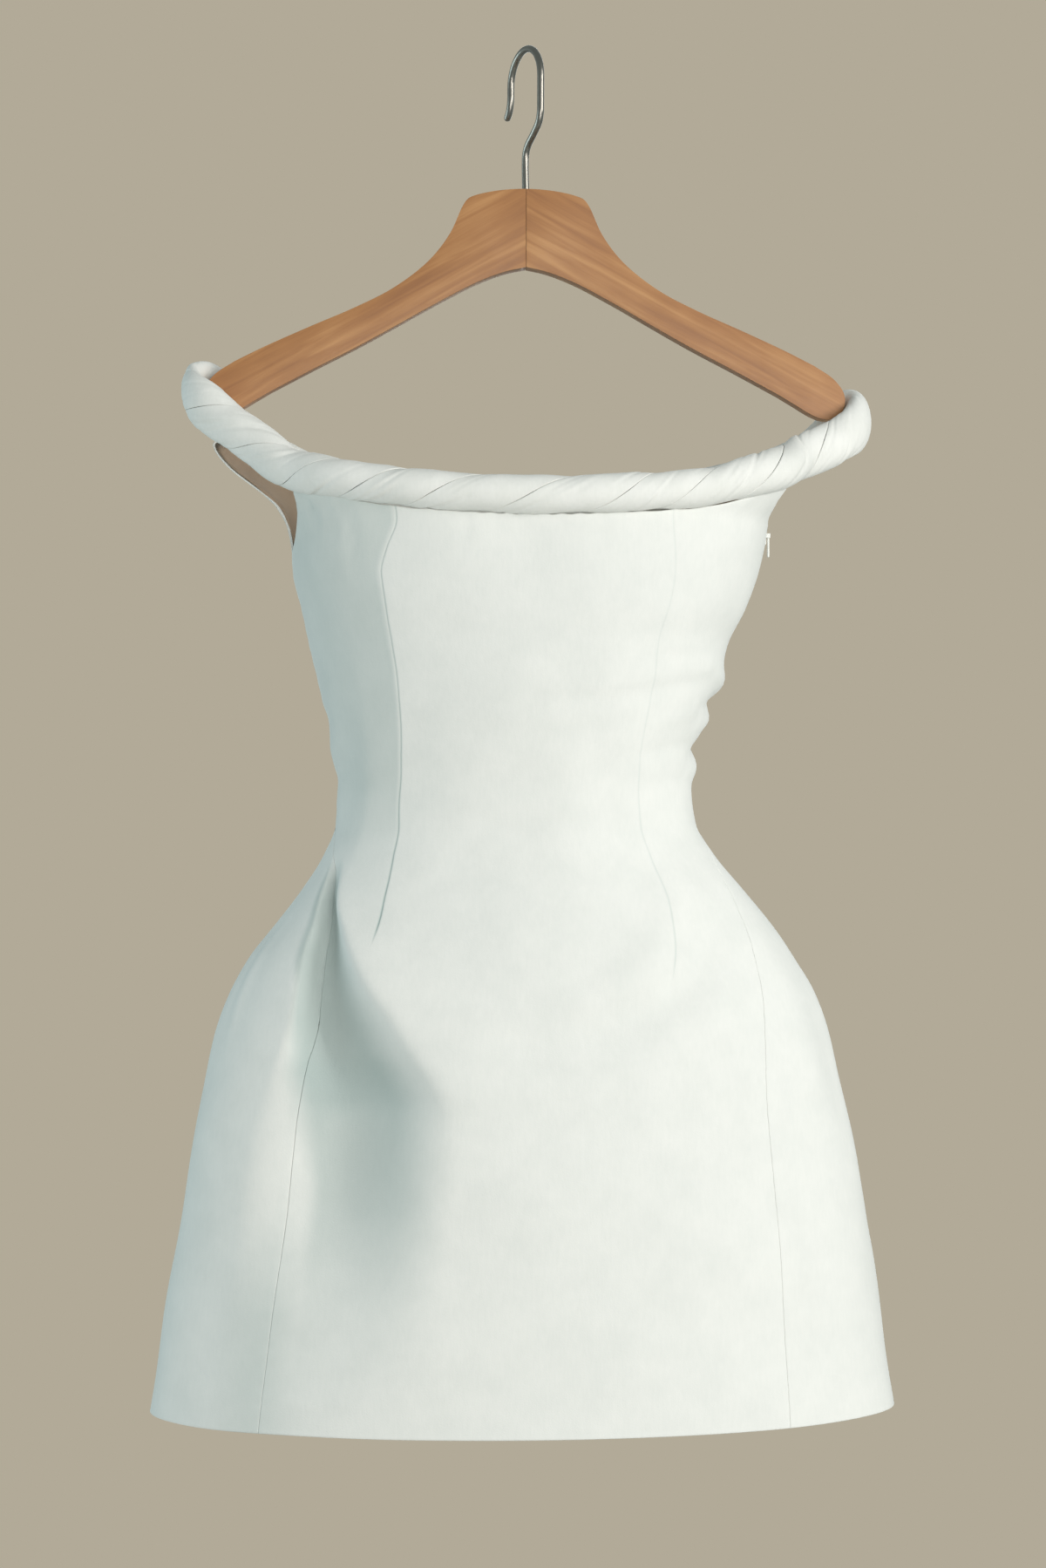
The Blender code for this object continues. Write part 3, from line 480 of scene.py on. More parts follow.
BAND_LINE = through(band_rows(), 24, closed=True)
FRONT_REACH = 62.0                 # degrees to either side that the front's upper edge is worked out for
BACK_FROM = 106.0
BACK_TO = 248.0
EDGE_HEIGHTS = (-345.0, -250.0, 0.25)      # where that edge is looked for: from, to and step
EDGE_TURN = 2.0                    # degrees from one place on it to the next


def band_edge(first, last):
    """Height of the cloth's edge, just clear of the band above it, over an arc of degrees."""
    degrees = np.linspace(first, last, round((last - first) / EDGE_TURN) + 1)
    heights = np.arange(*EDGE_HEIGHTS)
    line = BAND_LINE[::4]
    edge = []
    for deg in degrees:
        room = np.full(len(heights), np.inf)
        for out in (0.0, -WALL):
            points = skin(deg, heights, out)
            apart = np.linalg.norm(points[:, None, :] - line[None, :, :3], axis=2)
            room = np.minimum(room, (apart - line[None, :, 4]).min(axis=1))
        blocked = np.nonzero(room < BAND_CLEAR)[0]
        edge.append(heights[blocked[0] - 1])
    return smooth_line(degrees, edge)


FRONT_EDGE = band_edge(-FRONT_REACH, FRONT_REACH)
BACK_EDGE = band_edge(BACK_FROM, BACK_TO)


def armhole(rows, side, edge):
    """An armhole edge as a function of degrees; its open end meets the band's edge."""
    points = []
    for deg, z in rows:
        at = side * deg % 360 if edge is BACK_EDGE else side * deg
        points.append((deg, float(edge(at)) if z is None else z))
    return smooth_line([p[0] for p in points], [p[1] for p in points])


FRONT_CORNER = {-1: ARMHOLE_FRONT_LEFT[0][0], 1: ARMHOLE_FRONT_RIGHT[0][0]}
BACK_CORNER = {-1: ARMHOLE_BACK_LEFT[-1][0], 1: ARMHOLE_BACK_RIGHT[-1][0]}
ARMHOLES = {
    (-1, "front"): armhole(ARMHOLE_FRONT_LEFT, -1, FRONT_EDGE),
    (1, "front"): armhole(ARMHOLE_FRONT_RIGHT, 1, FRONT_EDGE),
    (-1, "back"): armhole((ARMHOLE_FRONT_LEFT[-1], *ARMHOLE_BACK_LEFT), -1, BACK_EDGE),
    (1, "back"): armhole((ARMHOLE_FRONT_RIGHT[-1], *ARMHOLE_BACK_RIGHT), 1, BACK_EDGE),
}


def top_edge(deg):
    """Height of the cloth's upper edge all round."""
    turn = wrapped(deg)
    apart = np.abs(turn)
    left = turn < 0
    hole_front = np.where(left, ARMHOLES[-1, "front"](apart), ARMHOLES[1, "front"](apart))
    hole_back = np.where(left, ARMHOLES[-1, "back"](apart), ARMHOLES[1, "back"](apart))
    height = np.where(apart > 90.0, hole_back, hole_front)
    in_front = apart <= np.where(left, FRONT_CORNER[-1], FRONT_CORNER[1])
    height = np.where(in_front, FRONT_EDGE(turn), height)
    behind = apart > np.where(left, BACK_CORNER[-1], BACK_CORNER[1])
    return np.where(behind, BACK_EDGE(turn % 360), height)


def seam_degree(side, edge, z):
    """Where a gore's front or back seam lies; above the gore both are the side seam."""
    name = ("left_" if side < 0 else "right_") + edge
    return side * np.where(z > GORE_TIP_Z, 90.0, GORE[name](z))


def seam_gap(side, z):
    """Half the gap between the two edges of a side seam, opening smoothly above the closed zip."""
    opened = eased((np.asarray(z) - ZIP_OPEN_Z + 1.0) / ZIP_OPEN_OVER) * (side > 0)
    return SEAM_SHOWN / 2 + (ZIP_OPEN - SEAM_SHOWN / 2) * opened


def seam_of_zip(z):
    """Degrees of the zip: the side seam, then the back seam of the gore."""
    return seam_degree(1, "back", z)


# ---- finer form, over the CAD surface ----

SEAM_SHOWN = 0.12      # gap at a sewn seam, which closes to a crease
SEWN_UP = 1.2          # how far the cloth's upper edge is drawn up towards the band
CORNER_UP = 5.0        # how much further at the front's two corners
CORNER_REACH = 14.0    # degrees that this falls off over
SEAM_ROUND = 0.4       # how far the cloth's edge is rounded at a seam
FACING_FROM = 100.0    # degrees that the back facing runs between
FACING_TO = 268.0
FACING_CLIMB = 0.985   # share of the way up to the cloth's edge
FAR = 99.0             # a distance at which an edge has no effect, mm

EDGE_STEPS = (0.0, 0.05, 0.2, 0.45, 0.9, 2.2, 4.5)     # rows of points beside a rounded edge, mm from it
EDGE_SHARE = 0.4       # of a narrow place's width, the most that they take up
ON_EDGE = 0.001        # nearer than this is the edge itself, mm
DART_STEPS = (0.0, 0.4, 0.8, 1.3, 2.0, 3.0, 4.5)
CLIMB_LENGTH = 42.0    # about how far the rows climb from the yoke to the upper edge
FACING_ROWS = 15       # that the facing climbs in
# Even columns of points between the lines that each sheet is laid out by.
COLUMNS = {"front": (24, 80, 24), "back": (130,), "gore": (60,), "facing": (80,), "tape": (8,)}
SETTLE_ROUNDS = 8      # times that a row's degrees and heights are worked out from each other
# The front's darts, from the band down to their tips, as (deg, z), and how strongly each shows.
DART_LEFT = (
    (-31, -318), (-31.5, -339), (-34.5, -359), (-36.5, -375), (-37, -391), (-37.5, -415),
    (-37.5, -439), (-38.5, -473), (-40.5, -507), (-42, -535), (-41, -565), (-38.5, -593),
    (-36.5, -621), (-36, -631),
)
DART_RIGHT = (
    (31, -318), (32, -345), (34.5, -380), (36, -430), (37.5, -480), (39, -535),
    (37, -585), (32.5, -630), (29, -655),
)
DARTS = ((DART_LEFT, 1.0), (DART_RIGHT, 0.3))
DART_GROOVE = (0.35, 0.5)      # depth and half-width of the sewn line
DART_RIDGE = (0.03, 2.4, 1.7)  # height, distance and half-width of the fold beside it
DART_SHADE = 0.75              # half-width of the painted shade line in the crease where the fold meets, mm
DART_PALE = 90.0               # length over which that line pales upwards
DART_PALEST = 0.3              # what is left of it at the top
DART_FADE = 14.0               # length that a dart's line fades over at its tip

# Creases too fine for the CAD: shape, height, half-widths to the left and right of the line, and
# the line as (deg, z). A "round" one is a smooth wave, and a "bent" one comes to an edge.
CREASES = (
    # the front turns at the left dart, and again nearer the side
    ("bent", 2, 26, 30, ((-31, -332), (-36.5, -375), (-37.5, -430), (-38.5, -473), (-42, -535),
                               (-39, -590))),
    ("bent", 1.6, 12, 20, ((-53, -400), (-52, -459), (-54, -505), (-57.5, -557), (-56, -585))),
    # the gore's fold hangs over the left side seam
    ("round", 0.8, 10, 2.5, ((-68, -576), (-61, -604), (-56, -634), (-52, -668), (-49.5, -705))),
    # gathers under the band on the left
    ("round", -2, 3.5, 3.5, ((-57, -318), (-55, -328), (-54, -341))),
    ("round", 1.6, 4, 3, ((-54.5, -318), (-52, -331), (-51, -346))),
    ("round", -1.4, 3, 3.5, ((-51.5, -320), (-49.5, -332), (-49.5, -352))),
    ("round", 0.8, 5, 5, ((-48, -322), (-46.5, -350), (-47, -380))),
    ("round", -0.8, 4, 4, ((-44.5, -322), (-43.5, -345), (-44, -378))),
    ("round", 0.7, 5, 5, ((-40.5, -325), (-40, -345), (-40.5, -368))),
    # under the band elsewhere
    ("round", -0.5, 5, 5, ((-16, -331), (-15.5, -344), (-16.5, -362))),
    ("round", -0.4, 6, 6, ((14, -331), (15, -346), (14, -360))),
    ("round", -0.6, 4, 5, ((47, -322), (45.5, -338), (46, -360))),
    ("round", -0.8, 3.5, 4.5, ((54, -318), (52.5, -330), (53, -350))),
    # drag lines from the buckles at the right side of the waist
    ("round", -1.5, 5.5, 9, ((86, -459), (66, -445), (46, -452), (22, -461), (0, -463))),
    ("round", -1.2, 4.5, 7, ((88, -497), (70, -492), (48, -496), (25, -506))),
    ("round", 0.8, 6, 8, ((80, -474), (62, -470), (45, -477), (30, -487))),
    ("round", -0.8, 4, 6, ((84, -519), (66, -516), (47, -521))),
    ("round", -0.5, 3, 4, ((60, -428), (44, -431), (30, -430))),
    # soft marks across the front of the bodice and waist
    ("round", -0.5, 7, 9, ((-30, -478), (-10, -486), (12, -484), (30, -478))),
    ("round", -0.6, 8, 8, ((-28, -540), (-8, -548), (14, -546), (34, -538))),
    ("round", 0.6, 12, 12, ((30, -640), (36, -668), (40, -700))),
    # the right dart's tip
    ("round", -0.7, 2.2, 2.2, ((30, -650), (28.5, -656), (27.5, -661))),
    # left side
    ("round", 1.2, 6, 6, ((-80, -612), (-76.5, -640), (-74, -672), (-72, -705))),
    ("round", -1.2, 4, 6, ((-84, -608), (-80.5, -640), (-78, -678))),
    ("round", -1.5, 7, 7, ((-70, -470), (-84, -476), (-98, -474), (-112, -468))),
    ("round", 1.2, 7, 7, ((-72, -492), (-88, -497), (-104, -494))),
    ("round", -1.2, 6, 6, ((-76, -514), (-90, -518), (-108, -513))),
    # right side
    ("round", 1.5, 14, 14, ((62, -600), (60, -660), (60, -730), (60, -800))),
    ("round", -1.5, 12, 12, ((74, -640), (73, -720), (74, -800))),
    ("round", -2, 16, 16, ((88, -650), (90, -740), (90, -830))),
    # back: under the band, across the waist, and the drapes of the skirt
    ("round", -0.9, 6, 6, ((176, -318), (177, -345), (176, -378))),
    ("round", -1.2, 5, 6, ((150, -308), (151, -330), (149, -360))),
    ("round", 1, 5, 6, ((142, -306), (143, -330), (142, -362))),
    ("round", -1.2, 5, 6, ((-152, -310), (-151, -334), (-152, -366))),
    ("round", 1, 6, 6, ((-143, -306), (-142, -330), (-143, -360))),
    ("round", -2, 9, 9, ((122, -466), (140, -478), (162, -484), (186, -480))),
    ("round", -1.8, 8, 8, ((-118, -486), (-136, -497), (-158, -500))),
    ("round", -1.6, 7, 7, ((118, -505), (138, -515), (158, -514))),
    ("round", 1.4, 9, 9, ((124, -522), (146, -530), (170, -528))),
    ("round", -2.4, 18, 10, ((168, -600), (166, -660), (160, -720), (152, -790), (148, -860))),
    ("round", 2, 14, 20, ((176, -620), (178, -700), (180, -790), (182, -880))),
    ("round", -2.4, 10, 18, ((-166, -610), (-162, -680), (-156, -750), (-152, -830))),
    ("round", 1.6, 14, 14, ((-140, -640), (-146, -720), (-150, -800))),
)
# How far from its line a crease is still worked out: this many times its width and a margin, in mm,
# up and down it, and degrees beyond its ends.
CREASE_REACH = (4, 4, 60)
# The hollow beside the left hip and the drape that runs down from it, in place of the first folds of
# the CAD's surface: degrees where it starts beside the hip, is deepest and ends at the belly, its
# depth in mm, how sharp its corner is at the belly, the height of the low crest there in mm, the
# strength of the painted shade inside it, and the degrees where that painted shade begins.
PLAIN_FOLDS = 4
HOLLOW_COLUMNS = ("z", "rim", "deepest", "edge", "depth", "sharp", "crest", "shade", "dim_from")
HOLLOW = (
    (-572, -69.5, -67.5, -62, 0, 1, 0, 0, -72),
    (-588, -65.5, -63, -57.5, 5, 1, 1, 0.4, -69),
    (-605, -61, -58.9, -52.5, 10, 1, 2.5, 0.5, -65),
    (-622, -57.3, -55.3, -46, 14, 1, 5.5, 0.5, -61.5),
    (-640, -54.2, -52.3, -39.5, 17, 1, 7, 0.52, -58),
    (-660, -51.6, -49.3, -33.5, 19, 1, 7.5, 0.52, -53.5),
    (-680, -50.4, -47, -27.5, 21, 1, 7, 0.54, -52),
    (-700, -51.5, -43.5, -23, 22, 1, 6.5, 0.56, -51.5),
    (-716, -53, -39, -19.5, 22, 1, 6, 0.62, -52.5),
    (-732, -54.5, -36, -16.5, 21, 0.9, 5, 0.6, -50.5),
    (-748, -55.5, -35, -14.5, 20, 0.4, 3, 0.48, -48),
    (-770, -56, -35, -13.5, 21, 0.1, 2, 0.42, -45.5),
    (-800, -56, -34.5, -13, 20, 0, 1, 0.38, -42.5),
    (-840, -56, -34.5, -13.5, 15, 0, 0, 0.22, -42),
    (-890, -56, -36, -15, 6, 0, 0, 0.05, -40),
    (-940, -56, -38, -17, 1, 0, 0, 0, -40),
)
HOLLOW_LINES = table_lines(HOLLOW_COLUMNS, HOLLOW)
HOLLOW_CORNER = 0.22   # rounding of the sharp corner, as a share of the rise
HOLLOW_STEEP = 2.3     # power of the rise to it, so that the hollow's floor lies low
HOLLOW_PAST = 1.6      # share of the rise that is worked out, beyond the corner
CREST_REACH = 32.0     # degrees that the low crest at the belly's edge falls away over
SHADE_LEAD = 0.55      # share of the near side that the painted shade grows over
SHADE_TAIL = 0.55      # share of the far side that the painted shade fades over
# The foot of the left seam: middle and reach of its painted shade in degrees, heights between which
# that grows, and its strength.
FOOT_SHADE = (-47.0, 8.0, -800.0, -880.0, 0.3)
# The bodice beyond its left dart: degrees that its painted shade grows over, degrees between which it
# fades, heights between which it grows, and its strength.
SIDE_SHADE = (1.5, -62.0, -96.0, -580.0, -520.0, 0.3)

HEM_FOLD = (0.22, 3.2, 0.9)      # depth, height above the edge and half-width of the hem's press line
SEAM_PUCKER = (0.16, 13.0, 4.0)  # height, length and reach of the unevenness beside a seam
SEAM_WANDER = (1.7, 31.0)        # how unevenly that is spaced, as an angle and the length it changes over
SEAM_FOLD = (2.6, 1.9)           # distance and half-width of the fold beside a seam
BACK_RIDGE = 0.15                # height of that fold on the back
# Where the back ends at the left armhole its wall is pressed thin: middle and reach in degrees, reach
# down in mm, and how much thinner it is.
PRESSED = (258.0, 12.0, 9.0, 0.9)
SOFT_WAVES = 26
SOFT_WAVE_HEIGHT = 0.16
SOFT_WAVE_LENGTHS = (45.0, 150.0)
SOFT_WAVE_HEADING = (1.0, 1.0, 0.7)    # they change more round the dress than up it
SOFT_RADIUS = 110                # of the round column that the waves are laid out on
SOFT_SEED = 11


def crease_height(deg, z):
    """How far the finer creases stand out of the surface."""
    total = np.zeros(np.shape(z))
    widths, margin, past = CREASE_REACH
    for shape, height, left, right, line in CREASES:
        turns, levels = unrolled(line)
        centre = turns.mean()
        turn = wrapped(deg - centre) + centre
        reach = widths * max(left, right) + margin
        near = (z > levels.min() - reach) & (z < levels.max() + reach)
        near &= np.abs(turn - centre) < np.ptp(turns) / 2 + past
        if not near.any():
            continue
        at = z[near]
        nearest, share, side = beside(turns, levels, turn[near], at, mm_per_degree(centre, at))
        width = np.where(side > 0, left, right)
        if shape == "bent":
            profile = np.exp(-(np.sqrt(nearest**2 + 1.0) - 1.0) / width)
        else:
            profile = np.exp(-(nearest / width) ** 2)
        total[near] += height * tapered(share) * profile
    return total


def hollow_lines(z):
    """The values of the hollow's table at the given heights, in the table's order."""
    return [HOLLOW_LINES[name](z) for name in HOLLOW_COLUMNS[1:]]


def hollow_shade(deg, z):
    """Painted shade, 0 to 1, where the hollow keeps light out, at the left seam's foot and past the left
    dart.
    """
    turn = wrapped(deg)
    _, deepest, edge, *_, shade, start = hollow_lines(z)
    begun = (turn - start) / (SHADE_LEAD * (deepest - start))
    left = (edge - turn) / (SHADE_TAIL * (edge - deepest))
    total = shade * eased(np.minimum(begun, left))
    side, wide, low, high, strength = FOOT_SHADE
    level = np.clip((z - low) / (high - low), 0, 1)
    total = total + strength * level * np.exp(-((turn - side) / wide) ** 2)
    grown, start, end, low, high, strength = SIDE_SHADE
    level = np.clip((z - low) / (high - low), 0, 1)
    level = level * np.clip((dart_degree(DART_LEFT, z) - turn) / grown, 0, 1)
    return total + strength * level * np.clip((turn - end) / (start - end), 0, 1)


def hollow_height(deg, z):
    """The hollow beside the left hip: a fall from the hip, and a rise up to the belly."""
    turn = wrapped(deg)
    rim, deepest, edge, depth, sharp, crest, *_ = hollow_lines(z)
    fall = eased((turn - rim) / (deepest - rim))
    rise = np.clip((turn - deepest) / (edge - deepest), 0, HOLLOW_PAST)
    steep = rise**HOLLOW_STEEP
    steep = (steep + 1 - np.sqrt((steep - 1) ** 2 + HOLLOW_CORNER**2)) / 2
    rise = sharp * steep + (1 - sharp) * eased(rise)
    past = 1 - np.clip((turn - edge) / CREST_REACH, 0, 1)
    return -depth * np.where(turn < deepest, fall, 1 - rise) + crest * rise * past**2


def soft_height(deg, z):
    """Very low uneven waves all over, as cloth has that was pressed and then worn."""
    chance = np.random.default_rng(SOFT_SEED)
    turn = np.radians(deg)
    place = np.stack([SOFT_RADIUS * np.sin(turn), -SOFT_RADIUS * np.cos(turn), z], axis=-1)
    total = np.zeros(np.shape(z))
    for _ in range(SOFT_WAVES):
        heading = unit(chance.normal(size=3) * SOFT_WAVE_HEADING)
        length = chance.uniform(*SOFT_WAVE_LENGTHS)
        total += np.sin(place @ heading * math.tau / length + chance.uniform(0, math.tau))
    return total * SOFT_WAVE_HEIGHT


def dart_degree(dart, z):
    """Where a dart's line, or the straight line on below it, lies at a height."""
    rows = sorted((p[1], p[0]) for p in dart)
    return smooth_line([r[0] for r in rows], [r[1] for r in rows])(z)


def dart_places(deg, z):
    """For each dart how strongly it shows, its line, and the distances beside it and above its tip."""
    for dart, strength in DARTS:
        line = dart_degree(dart, z)
        yield strength, line, (deg - line) * mm_per_degree(line, z), z - dart[-1][1]


def dart_shade(deg, z):
    """How much painted shade lies along the crease of a dart's sewn line, from 0 to 1."""
    total = np.zeros(np.shape(z))
    for strength, _, across, above in dart_places(deg, z):
        pale = DART_PALEST + (1 - DART_PALEST) * np.exp(-above / DART_PALE)
        shown = np.clip(above / DART_FADE, 0, 1) * pale
        total += strength * shown * np.exp(-(across / DART_SHADE) ** 2)
    return total


def dart_height(deg, z):
    """The sewn groove and the fold beside it, along each dart."""
    total = np.zeros(np.shape(z))
    depth, half = DART_GROOVE
    ridge, away, wide = DART_RIDGE
    for strength, line, across, above in dart_places(deg, z):
        shown = np.clip(above / DART_FADE, 0, 1) ** 0.5
        side = 1 if line.mean() < 0 else -1
        groove = -depth * np.exp(-(across / half) ** 2)
        fold = ridge * np.exp(-((across * side + away) / wide) ** 2)
        total += strength * shown * (groove + fold)
    return total


def cloth(deg, z):
    """The middle of the folded cloth's outer face, with every fold and crease."""
    height = fold_height(deg, z, FOLDS[PLAIN_FOLDS:]) + hollow_height(deg, z)
    height = height + crease_height(deg, z) + soft_height(deg, z)
    return body(deg, z) + outward(body, deg, z) * height[..., None]


# ---- meshes ----

def linear(colour):
    """An sRGB hex colour as linear RGBA."""
    parts = [int(colour[i:i + 2], 16) / 255 for i in (1, 3, 5)]
    return [p / 12.92 if p <= 0.04045 else ((p + 0.055) / 1.055) ** 2.4 for p in parts] + [1.0]


def add_object(name, mesh, material=None):
    """Puts a mesh in the scene under a name."""
    thing = bpy.data.objects.new(name, mesh)
    bpy.context.scene.collection.objects.link(thing)
    if material:
        mesh.materials.append(material)
    return thing


def mesh_of(name, points, faces):
    """A smooth mesh from points in mm and faces."""
    mesh = bpy.data.meshes.new(name)
    mesh.from_pydata((np.asarray(points) * MM).tolist(), [], np.asarray(faces).tolist())
    mesh.shade_smooth()
    return mesh


def built_mesh(name, build, sharp=None):
    """The mesh of a finished build, smooth except at edges of more than `sharp` degrees if given."""
    mesh = bpy.data.meshes.new(name)
    build.to_mesh(mesh)
    build.free()
    if sharp:
        mesh.shade_smooth()
        mesh.set_sharp_from_angle(angle=math.radians(sharp))
    return mesh


def grid_normals(points):
    """Unit normals of a grid of points, facing out of the dress."""
    return unit(np.cross(np.gradient(points, axis=1), np.gradient(points, axis=0)))


def shell(name, grid, to_rim, to_seam, lift, base, thickness, material):
    """A thin wall over a grid of places, closed by rounded edges.

    `to_rim` and `to_seam` are each point's distances from the nearest open edge and the nearest sewn
    one, `lift` is its height over the cloth's surface, and `base` how far inside the surface the
    wall's outer face lies.
    """
    rows, columns = grid[0].shape
    centre = cloth(*grid)
    normal = grid_normals(centre)
    half = thickness / 2
    swell = half
    for apart, radius in ((to_rim, half), (to_seam, np.minimum(SEAM_ROUND, half))):
        near = np.minimum(apart, radius)
        rounded = half - radius + np.sqrt(radius**2 - (radius - near) ** 2)
        swell = np.minimum(swell, np.where(apart > ON_EDGE, rounded, 0.0))
    middle = centre + normal * (lift - base - half)[..., None]
    outer = (middle + normal * swell[..., None]).reshape(-1, 3)
    inner = (middle - normal * swell[..., None])[1:-1, 1:-1].reshape(-1, 3)
    index = np.arange(rows * columns).reshape(rows, columns)
    inside = index.copy()
    inner_count = (rows - 2) * (columns - 2)
    inside[1:-1, 1:-1] = rows * columns + np.arange(inner_count).reshape(rows - 2, columns - 2)
    faces = []
    for at, flip in ((index, False), (inside, True)):
        corners = [at[:-1, :-1], at[:-1, 1:], at[1:, 1:], at[1:, :-1]]
        if flip:
            corners.reverse()
        faces.append(np.stack([c.ravel() for c in corners], axis=1))
    return add_object(name, mesh_of(name, np.vstack([outer, inner]), np.vstack(faces)), material)


def uniform(start, stop, step):
    """Even steps of at most `step` from start to stop, without its ends."""
    count = max(int(math.ceil(abs(stop - start) / step)), 2)
    return np.linspace(start, stop, count + 1)[1:-1]


def levels_from_edge(low, stop, step):
    """Levels from a lower edge up: set steps beside the edge, then even ones to short of `stop`."""
    return [*(low + s for s in EDGE_STEPS), *uniform(low + EDGE_STEPS[-1], stop, step)]


def level_rows(low, high, step, top=False):
    """Rows as (level, climb, drop): a level height, the share climbed from it to the top edge, and
    the distance that is kept below that edge."""
    levels = levels_from_edge(low, high, step)
    if not top:
        levels += [high - s for s in reversed(EDGE_STEPS)]
        return [(level, 0.0, 0.0) for level in levels]
    rows = [(level, 0.0, 0.0) for level in [*levels, high]]
    climbs = uniform(0.0, 1.0, step / CLIMB_LENGTH)
    rows += [(high, climb, EDGE_STEPS[-1]) for climb in climbs]
    return rows + [(high, 1.0, s) for s in reversed(EDGE_STEPS)]


def sewn_edge(deg):
    """The upper edge as it is sewn, drawn up against the band, and further at the front's corners."""
    turn = wrapped(deg)
    corner = np.where(turn < 0, FRONT_CORNER[-1], FRONT_CORNER[1])
    more = CORNER_UP * np.exp(-((np.abs(turn) - corner) / CORNER_REACH) ** 2)
    return top_edge(deg) + SEWN_UP + more


def heights(rows, deg):
    """Heights of rows at the given degrees, one row of degrees for each."""
    level, climb, drop = (np.array(part)[:, None] for part in zip(*rows))
    return level + np.where(climb > 0, (sewn_edge(deg) - drop - level) * climb, 0.0)


def settle(rows, line):
    """Degrees at which each row meets a line that is a function of height."""
    deg = line(np.array([[row[0]] for row in rows], float))
    for _ in range(SETTLE_ROUNDS):
        deg = line(heights(rows, deg))
    return deg


def columns_between(rows, lines, near, counts):
    """A grid of degrees from lines of degrees across it, with set steps beside each line.

    `near` holds the steps beside each line in mm, and `counts` the even columns between them. Also
    gives each point's distance in mm from the first and last line.
    """
    edges = [settle(rows, line) for line in lines]
    scale = [mm_per_degree(edge, heights(rows, edge)) for edge in edges]
    parts = []
    for k, count in enumerate(counts):
        wide = (edges[k + 1] - edges[k]) * (scale[k] + scale[k + 1]) / 2
        first, last = np.array(near[k]), np.array(near[k + 1])
        tight = np.minimum(1.0, EDGE_SHARE * wide / max(first[-1], last[-1]))
        begin = edges[k] + first * tight / scale[k]
        end = edges[k + 1] - last[::-1] * tight / scale[k + 1]
        shares = np.linspace(0, 1, count + 2)[1:-1]
        middle = begin[:, -1:] + (end[:, :1] - begin[:, -1:]) * shares
        parts += [begin if k == 0 else begin[:, 1:], middle, end]
    deg = np.hstack(parts)
    z = heights(rows, deg)
    reach = np.minimum((deg - edges[0]) * scale[0], (edges[-1] - deg) * scale[-1])
    return deg, z, reach


def to_hem_and_top(z, deg):
    """Distance from the hem or the upper edge, whichever is nearer."""
    return np.minimum(z - HEM_Z, sewn_edge(deg) - z)


def back_wall(deg, z):
    """The back panel's thickness, pressed thin where it ends at the left armhole."""
    middle, wide, deep, thinner = PRESSED
    down = np.maximum(sewn_edge(deg) - z, 0.0)
    return WALL - thinner * np.exp(-(((deg - middle) / wide) ** 4)) * np.exp(-(down / deep) ** 2)


def seam_line(side, edge, towards):
    """A panel's edge on a side seam, drawn back from it by half the gap, as a function of height."""
    def line(z):
        deg = seam_degree(side, edge, z)
        return deg + towards * seam_gap(side, z) / mm_per_degree(deg, z)
    return line


def seam_lift(reach, z, ridge):
    """The fold and the slight pucker beside a seam."""
    height, length, fade = SEAM_PUCKER
    swing, change = SEAM_WANDER
    away, half = SEAM_FOLD
    wave = np.sin(z * math.tau / length + swing * np.sin(z / change))
    pucker = height * wave * np.exp(-(reach / fade) ** 2)
    return pucker + ridge * np.exp(-((reach - away) / half) ** 2)


def hem_lift(z):
    """The hem's press line."""
    depth, above, half = HEM_FOLD
    return -depth * np.exp(-((z - HEM_Z - above) / half) ** 2)


# ---- node trees ----

def add_node(tree, kind, values=None, **settings):
    """Adds a node with its settings; values gives sockets a value or another node's output."""
    node = tree.nodes.new(kind)
    for name, value in settings.items():
        setattr(node, name, value)
    for key, value in (values or {}).items():
        socket = node.inputs[key]
        if isinstance(value, bpy.types.NodeSocket):
            tree.links.new(value, socket)
        else:
            socket.default_value = value
    return node


def new_tree(name, inputs):
    """A geometry node tree with a geometry in and out and the named inputs."""
    tree = bpy.data.node_groups.new(name, "GeometryNodeTree")
    tree.interface.new_socket("Geometry", in_out="INPUT", socket_type="NodeSocketGeometry")
    for label, kind in inputs:
        tree.interface.new_socket(label, in_out="INPUT", socket_type="NodeSocket" + kind)
    tree.interface.new_socket("Geometry", in_out="OUTPUT", socket_type="NodeSocketGeometry")
    return tree, tree.nodes.new("NodeGroupInput"), tree.nodes.new("NodeGroupOutput")


def close_tree(tree, geometry, material, output):
    """Smooth, real geometry in its material at the end of a tree."""
    smooth = add_node(tree, "GeometryNodeSetShadeSmooth", {"Geometry": geometry})
    real = add_node(tree, "GeometryNodeRealizeInstances", {"Geometry": smooth.outputs[0]})
    coated = add_node(tree, "GeometryNodeSetMaterial", {"Geometry": real.outputs[0], "Material": material})
    tree.links.new(coated.outputs[0], output.inputs[0])
    return tree


